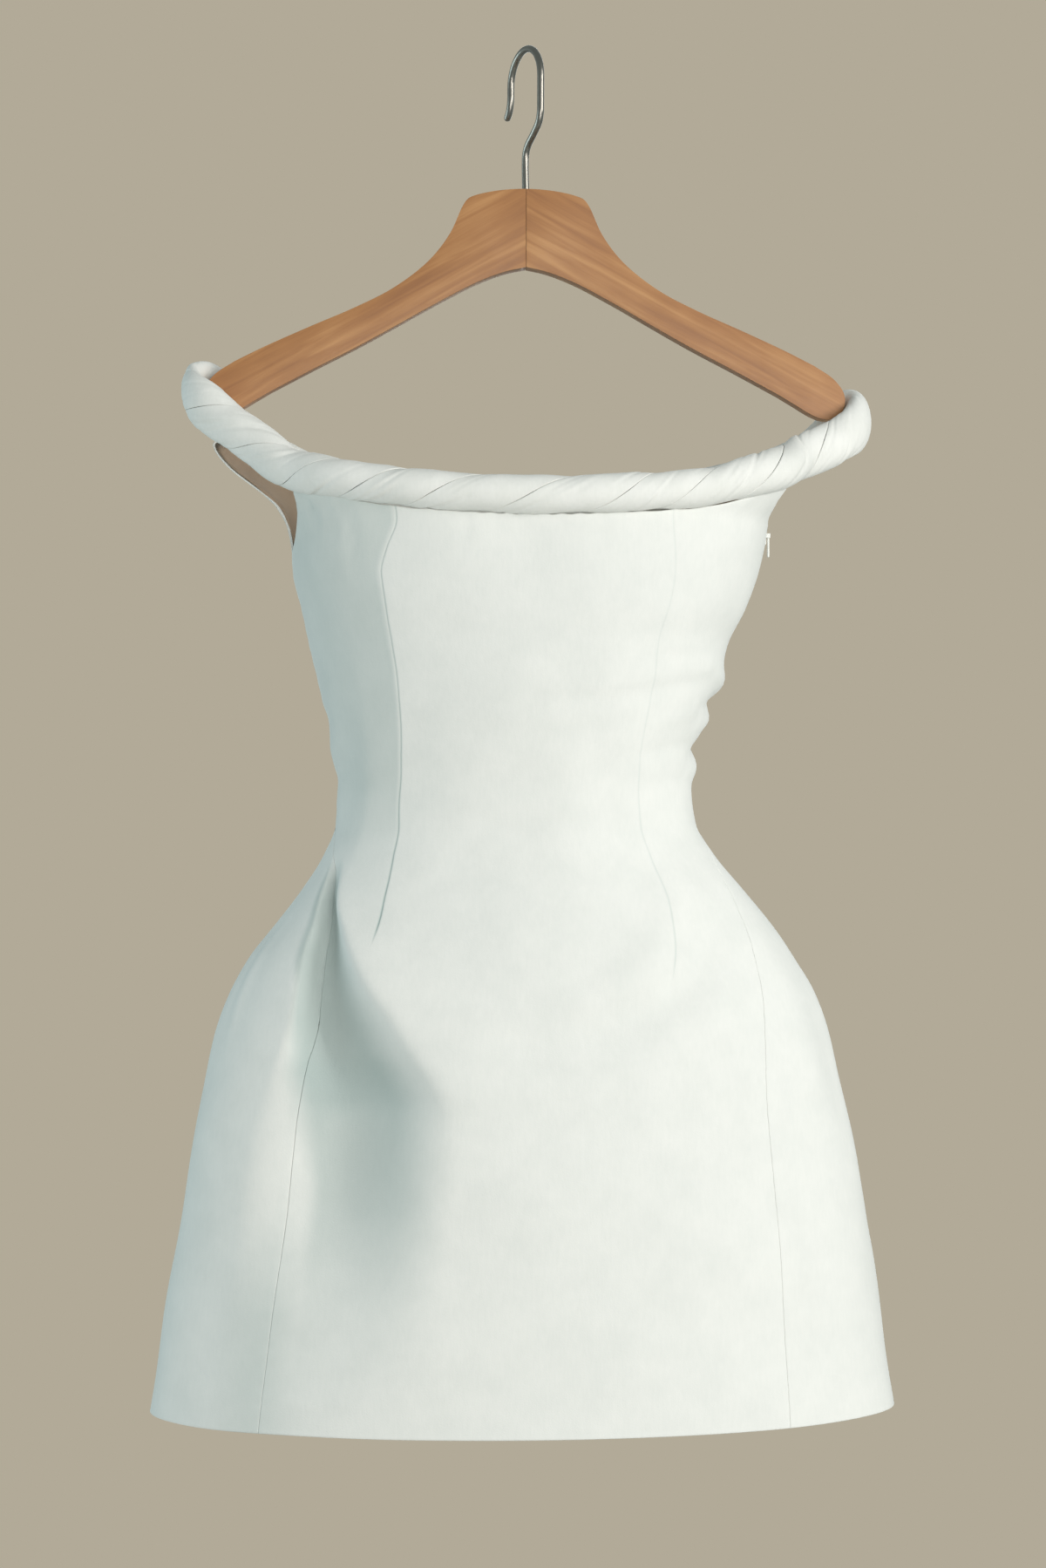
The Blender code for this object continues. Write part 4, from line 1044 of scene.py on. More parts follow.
# A strand's section and its turning round the band's line, one piece of arithmetic in a row: result,
# operation and terms. The section is round on one side and flat against the second strand on the other.
STRAND_STEPS = (
    ("share", "DIVIDE", "index", "Points round"),
    ("angle", "MULTIPLY", "share", math.tau),
    ("facing", "COSINE", "angle"),
    ("sideways", "SINE", "angle"),
    ("corner squared", "POWER", "Corner", 2.0),
    ("squared", "MULTIPLY_ADD", "facing", "facing", "corner squared"),
    ("root", "SQRT", "squared"),
    ("sum", "ADD", "facing", "root"),
    ("half sum", "MULTIPLY", "sum", 0.5),
    ("beside", "ABSOLUTE", "sideways"),
    ("steepened", "POWER", "beside", 5.0),
    ("hollow", "MULTIPLY", "steepened", "Groove"),
    ("fullness", "SUBTRACT", 1.0, "hollow"),
    ("away", "MULTIPLY_ADD", "half sum", "fullness", "Gap"),
    ("across", "MULTIPLY", "sideways", "fullness"),
    ("turned", "ADD", "turn", "Start"),
    ("spun", "MULTIPLY", "turned", math.tau),
    ("cosine", "COSINE", "spun"),
    ("sine", "SINE", "spun"),
    ("x cosine", "MULTIPLY", "x", "cosine"),
    ("y cosine", "MULTIPLY", "y", "cosine"),
    ("y sine", "MULTIPLY", "y", "sine"),
    ("level", "SUBTRACT", "x cosine", "y sine"),
    ("rise", "MULTIPLY_ADD", "x", "sine", "y cosine"),
    ("out step", "MULTIPLY", "level", "half_out"),
    ("up step", "MULTIPLY", "rise", "half_up"),
)
# What the strand's tree reads from the points of the band's line, and from its own section.
STRAND_READS = {"centre": "FLOAT_VECTOR", "out": "FLOAT_VECTOR", "up": "FLOAT_VECTOR",
                "profile": "FLOAT_VECTOR", "turn": "FLOAT", "half_out": "FLOAT", "half_up": "FLOAT"}


def strand_tree():
    """Sweeps one strand of the twist along the band's line."""
    inputs = (("Start", "Float"), ("Gap", "Float"), ("Corner", "Float"), ("Groove", "Float"),
              ("Points round", "Int"), ("Material", "Material"))
    tree, given, result = new_tree("twisted strand", inputs)
    known = {label: given.outputs[label] for label, _ in inputs}
    known["index"] = add_node(tree, "GeometryNodeInputIndex").outputs[0]
    for label, kind in STRAND_READS.items():
        read = add_node(tree, "GeometryNodeInputNamedAttribute", {"Name": label}, data_type=kind)
        known[label] = read.outputs[0]
    shape = add_node(tree, "ShaderNodeSeparateXYZ", {"Vector": known["profile"]})
    known["x"] = shape.outputs[0]
    known["y"] = shape.outputs[1]
    for label, operation, *terms in STRAND_STEPS:
        values = {k: known.get(term, term) for k, term in enumerate(terms)}
        known[label] = add_node(tree, "ShaderNodeMath", values, operation=operation).outputs[0]
    rail = add_node(tree, "GeometryNodeMeshToCurve", {"Mesh": given.outputs["Geometry"]})
    rail = add_node(tree, "GeometryNodeSetSplineCyclic", {"Geometry": rail.outputs[0], "Cyclic": True})
    ring = add_node(tree, "GeometryNodeCurvePrimitiveCircle",
                    {"Resolution": known["Points round"], "Radius": 1.0})
    profile = add_node(tree, "ShaderNodeCombineXYZ",
                       {"X": known["away"], "Y": known["across"], "Z": known["share"]})
    ring = add_node(tree, "GeometryNodeStoreNamedAttribute",
                    {"Geometry": ring.outputs[0], "Name": "profile", "Value": profile.outputs[0]},
                    data_type="FLOAT_VECTOR", domain="POINT")
    swept = add_node(tree, "GeometryNodeCurveToMesh",
                     {"Curve": rail.outputs[0], "Profile Curve": ring.outputs[0]})
    steps = []
    for direction, length in (("out", "out step"), ("up", "up step")):
        values = {0: known[direction], "Scale": known[length]}
        steps.append(add_node(tree, "ShaderNodeVectorMath", values, operation="SCALE").outputs[0])
    step = add_node(tree, "ShaderNodeVectorMath", {0: steps[0], 1: steps[1]})
    place = add_node(tree, "ShaderNodeVectorMath", {0: known["centre"], 1: step.outputs[0]})
    placed = add_node(tree, "GeometryNodeSetPosition",
                      {"Geometry": swept.outputs[0], "Position": place.outputs[0]})
    return close_tree(tree, placed.outputs[0], known["Material"], result)


def wire_tree():
    """Sweeps a round wire of changing radius along a line of points."""
    tree, given, result = new_tree("bent wire", (("Points round", "Int"), ("Material", "Material")))
    rail = add_node(tree, "GeometryNodeMeshToCurve", {"Mesh": given.outputs["Geometry"]})
    ring = add_node(tree, "GeometryNodeCurvePrimitiveCircle",
                    {"Resolution": given.outputs["Points round"], "Radius": 1.0})
    radius = add_node(tree, "GeometryNodeInputNamedAttribute", {"Name": "radius"}, data_type="FLOAT")
    swept = add_node(tree, "GeometryNodeCurveToMesh",
                     {"Curve": rail.outputs[0], "Profile Curve": ring.outputs[0], "Scale": radius.outputs[0],
                      "Fill Caps": True})
    return close_tree(tree, swept.outputs[0], given.outputs["Material"], result)


def coil_tree():
    """Sets a tooth on every point of the zip's line, turned by the direction stored there."""
    inputs = (("Tooth radius", "Float"), ("Tooth width", "Float"), ("Material", "Material"))
    tree, given, result = new_tree("zip teeth", inputs)
    tooth = add_node(tree, "GeometryNodeMeshCylinder",
                     {"Vertices": 8, "Side Segments": 3, "Radius": given.outputs["Tooth radius"],
                      "Depth": given.outputs["Tooth width"]}, fill_type="NGON")
    turned = add_node(tree, "GeometryNodeInputNamedAttribute", {"Name": "across"}, data_type="FLOAT_VECTOR")
    aligned = add_node(tree, "FunctionNodeAlignRotationToVector", {"Vector": turned.outputs[0]}, axis="Z")
    spread_out = add_node(tree, "GeometryNodeInstanceOnPoints",
                          {"Points": given.outputs["Geometry"], "Instance": tooth.outputs[0],
                           "Rotation": aligned.outputs[0]})
    return close_tree(tree, spread_out.outputs[0], given.outputs["Material"], result)


def from_tree(name, tree, points, attributes, values, edges=True):
    """The plain mesh that a tree makes from a line of points (mm) with the given attributes."""
    count = len(points)
    mesh = bpy.data.meshes.new(name)
    links = [(k, k + 1) for k in range(count - 1)] if edges else []
    mesh.from_pydata((np.asarray(points) * MM).tolist(), links, [])
    for label, array in attributes.items():
        array = np.asarray(array, float)
        kind, field = ("FLOAT_VECTOR", "vector") if array.ndim == 2 else ("FLOAT", "value")
        mesh.attributes.new(label, kind, "POINT").data.foreach_set(field, array.ravel())
    thing = add_object(name, mesh)
    modifier = thing.modifiers.new(tree.name, "NODES")
    modifier.node_group = tree
    for item in tree.interface.items_tree:
        if item.in_out == "INPUT" and item.name in values:
            modifier[item.identifier] = values[item.name]
    settle_modifiers(thing)
    return thing


def settle_modifiers(thing):
    """Turns what an object's modifiers make into its plain mesh."""
    graph = bpy.context.evaluated_depsgraph_get()
    made = bpy.data.meshes.new_from_object(
        thing.evaluated_get(graph), preserve_all_data_layers=True, depsgraph=graph)
    if not made.polygons:
        raise RuntimeError(thing.name + " came out empty")
    thing.modifiers.clear()
    spent = thing.data
    thing.data = made
    bpy.data.meshes.remove(spent)
    made.name = thing.name


def face_outwards(mesh):
    """Turns a closed mesh's faces outwards."""
    build = bmesh.new()
    build.from_mesh(mesh)
    if build.calc_volume(signed=True) < 0:
        bmesh.ops.reverse_faces(build, faces=build.faces)
    build.to_mesh(mesh)
    build.free()


def read_points(mesh):
    """A mesh's points in mm."""
    flat = np.empty(len(mesh.vertices) * 3)
    mesh.vertices.foreach_get("co", flat)
    return flat.reshape(-1, 3) / MM


def read_attribute(mesh, name):
    """A vector attribute's rows, or a float attribute's values."""
    layer = mesh.attributes[name]
    size, field = (3, "vector") if layer.data_type == "FLOAT_VECTOR" else (1, "value")
    flat = np.empty(len(layer.data) * size)
    layer.data.foreach_get(field, flat)
    return flat.reshape(-1, 3) if size == 3 else flat


def read_normals(mesh):
    """A mesh's point normals."""
    flat = np.empty(len(mesh.vertices) * 3)
    mesh.vertex_normals.foreach_get("vector", flat)
    return flat.reshape(-1, 3)


def set_points(mesh, points):
    """Moves a mesh's points, given in mm."""
    mesh.vertices.foreach_set("co", (points * MM).ravel())
    mesh.update()


# ---- the band ----

STRAND_SIZE = 0.985      # of the line's half thickness, so that the strands clear the hanger
STRAND_CORNER = 0.13     # how rounded the strands are where they meet
STRAND_GROOVE = 0.065    # how far they round off there
STRAND_SHOWN = 0.06      # gap left between them, mm
STRAND_POINTS = 64
BAND_STEP = 1.9
# Creases in the strands: strand, share of the band's length and place round the strand where each
# begins and ends, depth and half-width in mm. 0 round is the middle of the strand's outer side.
BAND_CREASES = (
    (0, 0.975, 0.10, 1.010, 0.02, 0.9, 1.5),
    (1, 0.985, -0.12, 1.045, -0.02, 0.8, 1.4),
    (0, 0.030, 0.12, 0.075, 0.00, 0.9, 1.3),
    (1, 0.060, 0.14, 0.120, 0.03, 0.9, 1.3),
    (0, 0.108, -0.04, 0.150, 0.10, 0.7, 1.2),
    (1, 0.150, 0.10, 0.205, -0.03, 0.9, 1.4),
    (0, 0.195, 0.13, 0.245, 0.02, 1.0, 1.4),
    (1, 0.240, 0.12, 0.285, 0.04, 1.0, 1.3),
    (0, 0.262, -0.12, 0.330, 0.06, 1.1, 1.6),
    (1, 0.305, -0.05, 0.365, 0.12, 1.1, 1.6),
    (0, 0.330, -0.16, 0.380, -0.02, 0.9, 1.3),
    (0, 0.930, 0.14, 0.975, 0.02, 1.3, 1.7),
    (0, 0.935, 0.05, 0.972, -0.06, 1.2, 1.6),
    (1, 0.925, 0.12, 0.968, -0.01, 1.3, 1.7),
    (1, 0.940, 0.02, 0.985, -0.10, 1.1, 1.6),
    (0, 0.955, -0.04, 0.985, -0.14, 1.0, 1.4),
)
LOOSE_CREASES = 64                   # further fine creases on each strand
LOOSE_SHARE = (0.03, 0.085)          # of the band's length
LOOSE_PLACE = (-0.2, 0.2)            # round the strand, where each begins
LOOSE_DRIFT = (-0.07, 0.07)          # and how much farther round it ends
LOOSE_DEPTH = (0.15, 0.5)
LOOSE_HALF = (0.8, 1.6)
LOOSE_SEED = 7
CREASE_FADE = 0.7                    # power of the fading towards a crease's ends
# The swelling beside a crease: its height as a share of the crease's depth, and its distance and
# half-width in half-widths of the crease.
CREASE_SWELL = (0.55, 2.0, 1.6)
STRAND_SWELLS = 5                    # low swellings along each strand
STRAND_SWELL_HEIGHT = 0.175
STRAND_SWELL_SHARE = (0.02, 0.07)    # their length, of the band's
STRAND_SWELL_LEAN = 2.2              # waves that every second one shifts by in a turn round the strand
STRAND_GIRTH = 66.0                  # mm round a strand's outer side, for a whole turn of places
OUTER_SIDE = 0.27                    # places farther round than this lie against the other strand
INNER_RELIEF = 0.2                   # share of the creases that is left there
STRAND_TOP = (0.42, 0.25)            # highest relief, mm, and how much of a higher one that takes off


def band_frame():
    """The band's line with the directions out of it and up across it at every point."""
    count = int(round(stretches(BAND_LINE).sum() / BAND_STEP))
    line = evenly(BAND_LINE, count, closed=True)
    centre = line[:, :3]
    ahead = unit(np.roll(centre, -1, axis=0) - np.roll(centre, 1, axis=0))
    out = unit(np.cross(ahead, (0.0, 0.0, 1.0)))
    share = np.arange(count) / count
    return dict(centre=centre * MM, out=out, up=np.cross(out, ahead), share=share,
                turn=smooth_line(*zip(*BAND_TWIST))(share),
                half_out=line[:, 3] * MM * STRAND_SIZE, half_up=line[:, 4] * MM * STRAND_SIZE)


def crease_band(strand, share, place):
    """Height of the creases and swellings at shares of the band's length and places round a strand."""
    chance = np.random.default_rng(LOOSE_SEED + strand)
    lines = [row[1:] for row in BAND_CREASES if row[0] == strand]
    for _ in range(LOOSE_CREASES):
        start = chance.uniform(0, 1)
        stop = start + chance.uniform(*LOOSE_SHARE)
        first = chance.uniform(*LOOSE_PLACE)
        last = first + chance.uniform(*LOOSE_DRIFT)
        depth = chance.uniform(*LOOSE_DEPTH)
        lines.append((start, first, stop, last, depth, chance.uniform(*LOOSE_HALF)))
    total = np.zeros(share.shape)
    place = (place + 0.5) % 1.0 - 0.5
    high, away, wide = CREASE_SWELL
    for start, first, stop, last, depth, half in lines:
        along = ((share - start) % 1.0) / (stop - start)
        inside = along < 1.0
        along = along[inside]
        across = (place[inside] - first - (last - first) * along) * STRAND_GIRTH
        fade = np.sin(np.pi * along) ** CREASE_FADE
        swell = high * np.exp(-((across - away * half) / (wide * half)) ** 2)
        total[inside] += depth * fade * (swell - np.exp(-(across / half) ** 2))
    for k in range(STRAND_SWELLS):
        waves = round(1 / chance.uniform(*STRAND_SWELL_SHARE))
        turn = math.tau * (waves * share + chance.uniform())
        turn += STRAND_SWELL_LEAN * place * math.tau * (k % 2)
        total += STRAND_SWELL_HEIGHT * np.sin(turn)
    return np.where(np.abs(place) < OUTER_SIDE, total, total * INNER_RELIEF)


def make_strand(strand, name, tree, line, material):
    """One strand of the band, swept by the tree and then creased."""
    size = BAND_HALF * STRAND_SIZE
    values = {"Start": strand / 2, "Gap": STRAND_SHOWN / 2 / size, "Corner": STRAND_CORNER,
              "Groove": STRAND_GROOVE, "Points round": STRAND_POINTS, "Material": material}
    thing = from_tree(name, tree, line["centre"] / MM, line, values)
    mesh = thing.data
    face_outwards(mesh)
    place = read_attribute(mesh, "profile")[:, 2]
    relief = crease_band(strand, read_attribute(mesh, "share"), place)
    highest, less = STRAND_TOP
    relief = np.minimum(relief, highest - less * np.maximum(relief, 0))
    set_points(mesh, read_points(mesh) + read_normals(mesh) * relief[:, None])
    for label in ("centre", "out", "up", "half_out", "half_up", "turn"):
        mesh.attributes.remove(mesh.attributes[label])
    return thing


# ---- the hanger ----

ARM_SPAN_POINTS = 6    # points to a span of the outline
ARM_BEVEL_STEPS = 5
ARM_SHARP = 35         # degrees past which an edge stays sharp
BORE_SIDES = 48
GRAIN_APART = 600
WIRE_POINTS = 32
WIRE_STEP = 1.0
WIRE_END = (0, 15, 30, 45, 60, 75)     # degrees round the wire's rounded end, where it has its points
WIRE_LEAST = 0.12      # radius at the very end


def make_arm(side, name, material):
    """One half of the hanger, with half of the hook's hole in its joint face."""
    top = through((*ARM_CROWN, *ARM_TOP), ARM_SPAN_POINTS)[ARM_SPAN_POINTS:]
    end = through((ARM_TOP[-1], *ARM_END, ARM_UNDER[0]), ARM_SPAN_POINTS)[1:-2]
    under = through(ARM_UNDER, ARM_SPAN_POINTS)
    outline = np.vstack([top, end, under])
    outline[0, 0] = SEAM / 2
    outline[-1, 0] = SEAM / 2
    build = bmesh.new()
    order = outline if side > 0 else outline[::-1]
    ring = [build.verts.new((side * x * MM, -ARM_THICK / 2 * MM, z * MM)) for x, z in order]
    face = build.faces.new(ring)
    pushed = bmesh.ops.extrude_face_region(build, geom=[face])["geom"]
    moved = [v for v in pushed if isinstance(v, bmesh.types.BMVert)]
    bmesh.ops.translate(build, verts=moved, vec=(0, ARM_THICK * MM, 0))
    bmesh.ops.recalc_face_normals(build, faces=build.faces)
    rim = [e for e in build.edges
           if abs(e.verts[0].co.y - e.verts[1].co.y) < ON_EDGE * MM
           and max(abs(v.co.x) for v in e.verts) > JOINT_CLEAR * MM]
    bmesh.ops.bevel(build, geom=rim, offset=ARM_ROUND * MM, segments=ARM_BEVEL_STEPS, profile=0.5,
                    affect="EDGES", clamp_overlap=True)
    arm = add_object(name, built_mesh(name, build, ARM_SHARP), material)
    build = bmesh.new()
    high = max(z for _, z in ARM_CROWN) + HOOK_BORE * 2
    low = HOOK_FOOT_Z - SEAM
    bmesh.ops.create_cone(build, cap_ends=True, segments=BORE_SIDES, radius1=HOOK_BORE * MM,
                          radius2=HOOK_BORE * MM, depth=(high - low) * MM)
    bmesh.ops.translate(build, verts=build.verts, vec=(0, 0, (high + low) / 2 * MM))
    carve(arm, built_mesh("hook_bore", build))
    grain_attribute(arm.data, side)
    return arm


def carve(thing, cutter_mesh):
    """Takes a closed mesh's shape out of a piece."""
    cutter = add_object("cutter", cutter_mesh)
    modifier = thing.modifiers.new("cut", "BOOLEAN")
    modifier.operation = "DIFFERENCE"
    modifier.solver = "EXACT"
    modifier.object = cutter
    settle_modifiers(thing)
    bpy.data.objects.remove(cutter)
    bpy.data.meshes.remove(cutter_mesh)


def grain_attribute(mesh, side):
    """Stores each point's place along and across the wood, which was cut along the arm's slope."""
    points = read_points(mesh)
    start = np.array(ARM_TOP[1])
    along, down = unit(np.array(ARM_END[0]) - start)
    x = side * points[:, 0] - start[0]
    z = points[:, 2] - start[1]
    # the two arms come from different places in the wood
    run = x * along + z * down + GRAIN_APART * side
    grain = np.stack([run, points[:, 1], x * -down + z * along], axis=1)
    layer = mesh.attributes.new("grain", "FLOAT_VECTOR", "POINT")
    layer.data.foreach_set("vector", (grain * MM).ravel())


def make_hook(name, tree, material):
    """The bent wire: shank, offset bend, round top and rounded free tip, in its own upright plane."""
    top_z = HOOK_WIRE - HOOK_BEND
    turns = np.radians(range(0, 181, HOOK_STEP))
    arc = [(HOOK_BEND * math.cos(a), top_z + HOOK_BEND * math.sin(a)) for a in turns]
    lower = through(HOOK_SHANK, 12)
    tip = through((arc[-1], *HOOK_TIP), 10)
    flat = np.vstack([lower[:-1], arc, tip[1:]])
    flat = np.column_stack([flat, np.zeros(len(flat))])
    flat = evenly(flat, int(stretches(flat).sum() / WIRE_STEP))
    left = np.linalg.norm(flat - flat[-1], axis=1)
    ends = HOOK_WIRE * (1 - np.cos(np.radians(WIRE_END)))
    flat = np.vstack([flat[left > HOOK_WIRE], flat[-1] + unit(flat[-4] - flat[-1]) * ends[::-1, None]])
    left = np.linalg.norm(flat - flat[-1], axis=1)
    within = np.clip(HOOK_WIRE - left, 0, HOOK_WIRE)
    radius = np.maximum(np.sqrt(HOOK_WIRE**2 - within**2), WIRE_LEAST)
    turn = math.radians(HOOK_TURN)
    points = np.column_stack([flat[:, 0] * math.cos(turn), -flat[:, 0] * math.sin(turn), flat[:, 1]])
    values = {"Points round": WIRE_POINTS, "Material": material}
    thing = from_tree(name, tree, points, {"radius": radius * MM}, values)
    face_outwards(thing.data)
    return thing


# ---- the zip ----

COIL_PITCH = 1.25
COIL_RADIUS = 0.42
COIL_WIDTH = 4.6
COIL_TOP_Z = -363.0
COIL_FOOT_Z = TAPE_FOOT_Z + 4.0
COIL_INSIDE = WALL + TAPE_INSIDE + FACING + 0.5   # from the cloth's outer face to the coil's middle
BOX_ROUND_STEPS = 3
SLIDER_SHARP = 40      # degrees past which an edge stays sharp
PULL_SHARP = 50
PIN_SIDES = 20
EYE_SIDES = 32


def make_coil(name, tree, material):
    """The closed zip's teeth, on the inner side of its tape."""
    z = np.arange(COIL_FOOT_Z, COIL_TOP_Z, COIL_PITCH)
    deg = seam_of_zip(z)
    sides = [cloth(deg + step / mm_per_degree(deg, z), z) for step in (-1.0, 1.0)]
    across = unit(sides[1] - sides[0])
    middle = cloth(deg, z)
    points = middle - unit(np.cross(across, np.gradient(middle, axis=0))) * COIL_INSIDE
    values = {"Tooth radius": COIL_RADIUS * MM, "Tooth width": COIL_WIDTH * MM, "Material": material}
    thing = from_tree(name, tree, points, {"across": across}, values, edges=False)
    face_outwards(thing.data)
    return thing


def soft_box(build, low, high, radius):
    """Adds a box between two corners with rounded edges, in mm."""
    made = bmesh.ops.create_cube(build, size=1.0)["verts"]
    for v in made:
        v.co = [(a + b) / 2 * MM + c * (b - a) * MM for a, b, c in zip(low, high, v.co)]
    edges = {e for v in made for e in v.link_edges}
    bmesh.ops.bevel(build, geom=list(edges), offset=radius * MM, segments=BOX_ROUND_STEPS, profile=0.5,
                    affect="EDGES", clamp_overlap=True)


def rod_across(build, x, z, radius, half_y, sides):
    """Adds a cylinder along Y."""
    made = bmesh.ops.create_cone(build, cap_ends=True, segments=sides, radius1=radius * MM,
                                 radius2=radius * MM, depth=2 * half_y * MM)["verts"]
    for v in made:
        v.co = (x * MM + v.co.x, -v.co.z, z * MM + v.co.y)


def make_slider(name, material):
    """The slider: a body inside the dress, a neck through the seam, a bridge and the pull's two lugs."""
    seat = float(skin(ZIP_SIDE, SLIDER_Z)[0])
    build = bmesh.new()
    for outwards, across, upwards, radius in SLIDER_BOXES:
        (inner, near, foot), (outer, far, top) = zip(outwards, across, upwards)
        soft_box(build, (seat + inner, near, SLIDER_Z + foot), (seat + outer, far, SLIDER_Z + top), radius)
    rod_across(build, seat + PIN_OUT, SLIDER_Z + PIN_UP, PIN_RADIUS, PIN_HALF, PIN_SIDES)
    return add_object(name, built_mesh(name, build, SLIDER_SHARP), material)


def pull_outline():
    """The pull's outline seen from the side, (x, z) from its pin: the round head and the thinned foot."""
    head = [(PULL_HEAD * math.cos(a), PULL_HEAD * math.sin(a)) for a in np.radians(range(0, 181, 15))]
    half = PULL_THICK / 2
    low = PULL_BEVEL - PULL_LENGTH
    levels = np.linspace(-PULL_HEAD, low, 14)
    thinning = np.linspace(0, 1, 6)[1:]
    foot = [(half * math.sqrt(1 - t**2), low - PULL_BEVEL * t) for t in thinning]
    left = [(-half, z) for z in levels] + [(-x, z) for x, z in foot]
    right = [(x, z) for x, z in reversed(foot[:-1])] + [(half, z) for z in reversed(levels)]
    return [*head, *left, *right]


def pull_half(z):
    """Half the pull's width at a height under its pin."""
    high, narrower = PULL_FOOT
    down = min(max(-z / PULL_LENGTH, 0.0), 1.0)
    half = PULL_HALF_TOP + (PULL_HALF_FOOT - PULL_HALF_TOP) * down**PULL_FLARE
    rounded = max(-z - PULL_LENGTH + high, 0.0) / high
    return half * math.sqrt(1 - narrower * rounded**2)


def make_pull(name, material):
    """A smooth drop: a round eye on the pin, widening towards a thin rounded foot."""
    seat = float(skin(ZIP_SIDE, SLIDER_Z)[0])
    pin_x = seat + PIN_OUT
    pin_z = SLIDER_Z + PIN_UP
    outline = pull_outline()
    build = bmesh.new()
    rings = []
    for share, inset in PULL_SECTIONS:
        ring = []
        for x, z in outline:
            close = 1 - inset / math.hypot(x, PULL_SOFT)
            corner = ((pin_x + x * close) * MM, share * pull_half(z) * MM, (pin_z + z) * MM)
            ring.append(build.verts.new(corner))
        rings.append(ring)
    count = len(outline)
    for low, high in zip(rings, rings[1:]):
        for k in range(count):
            n = (k + 1) % count
            build.faces.new((low[k], low[n], high[n], high[k]))
    build.faces.new(rings[0])
    build.faces.new(rings[-1][::-1])
    bmesh.ops.recalc_face_normals(build, faces=build.faces)
    pull = add_object(name, built_mesh(name, build, PULL_SHARP), material)
    build = bmesh.new()
    rod_across(build, pin_x, pin_z, EYE_RADIUS, 2 * PULL_HALF_FOOT, EYE_SIDES)
    carve(pull, built_mesh("pull_eye", build))
    return pull


# ---- materials ----

def new_material(name):
    """An empty material and its node tree."""
    material = bpy.data.materials.new(name)
    material.use_nodes = True
    material.node_tree.nodes.clear()
    return material, material.node_tree


def close_material(material, values):
    """Ends a material in its shader, with the given values and links."""
    shader = add_node(material.node_tree, "ShaderNodeBsdfPrincipled", values)
    add_node(material.node_tree, "ShaderNodeOutputMaterial", {"Surface": shader.outputs[0]})
    return material


def crepe_material(name, colour, shade, bump):
    """Matte polyester crepe: a dry, finely pebbled white with no gloss and a soft bloom at its edges."""
    material, tree = new_material(name)
    place = add_node(tree, "ShaderNodeTexCoord").outputs["Object"]
    # crepe's pebble is about 0.5 mm; drawn a little coarser, because it would be too fine to show
    pebble = add_node(tree, "ShaderNodeTexNoise",
                      {"Vector": place, "Scale": 1 / (1.1 * MM), "Detail": 2.0, "Roughness": 0.6})
    drift = add_node(tree, "ShaderNodeTexNoise",
                     {"Vector": place, "Scale": 1 / (26 * MM), "Detail": 3.0, "Roughness": 0.55})
    stretched = add_node(tree, "ShaderNodeMapping", {"Vector": place, "Scale": (1.0, 1.0, 0.22)})
    thread = add_node(tree, "ShaderNodeTexNoise",
                      {"Vector": stretched.outputs[0], "Scale": 1 / (2.2 * MM), "Detail": 1.0})
    blotch = add_node(tree, "ShaderNodeMath", {0: thread.outputs[0], 1: 0.4, 2: drift.outputs[0]},
                      operation="MULTIPLY_ADD")
    worn = add_node(tree, "ShaderNodeMapRange",
                    {"Value": blotch.outputs[0], "From Min": 0.45, "From Max": 0.95})
    mixed = add_node(tree, "ShaderNodeMix",
                     {"Factor": worn.outputs[0], "A": linear(shade), "B": linear(colour)},
                     data_type="RGBA")
    # painted shade: by the fold attribute the white goes to the dim greyish green shade takes from facing
    # cloth
    fold = add_node(tree, "ShaderNodeAttribute", attribute_name="fold")
    dimmed = add_node(tree, "ShaderNodeMix",
                      {"Factor": fold.outputs["Fac"], "A": mixed.outputs["Result"], "B": linear("#93ABA8")},
                      data_type="RGBA")
    relief = add_node(tree, "ShaderNodeMath", {0: thread.outputs[0], 1: 0.5, 2: pebble.outputs[0]},
                      operation="MULTIPLY_ADD")
    raised = add_node(tree, "ShaderNodeBump",
                      {"Height": relief.outputs[0], "Strength": bump, "Distance": 0.25 * MM})
    return close_material(material, {
        "Base Color": dimmed.outputs["Result"], "Normal": raised.outputs[0], "Roughness": 0.86,
        "Specular IOR Level": 0.25, "Sheen Weight": 0.12, "Sheen Roughness": 0.5})


def facing_material():
    """Nude lining satin, dulled: smooth and close woven, with a faint broad sheen."""
    material, tree = new_material("nude facing satin")
    place = add_node(tree, "ShaderNodeTexCoord").outputs["Object"]
    weave = add_node(tree, "ShaderNodeTexNoise", {"Vector": place, "Scale": 1 / (0.9 * MM), "Detail": 1.0})
    cloud = add_node(tree, "ShaderNodeTexNoise", {"Vector": place, "Scale": 1 / (30 * MM), "Detail": 2.0})
    mixed = add_node(tree, "ShaderNodeMix",
                     {"Factor": cloud.outputs[0], "A": linear("#97816C"), "B": linear("#B09A83")},
                     data_type="RGBA")
    raised = add_node(tree, "ShaderNodeBump",
                      {"Height": weave.outputs[0], "Strength": 0.2, "Distance": 0.1 * MM})
    return close_material(material, {
        "Base Color": mixed.outputs["Result"], "Normal": raised.outputs[0], "Roughness": 0.62,
        "Sheen Weight": 0.1})


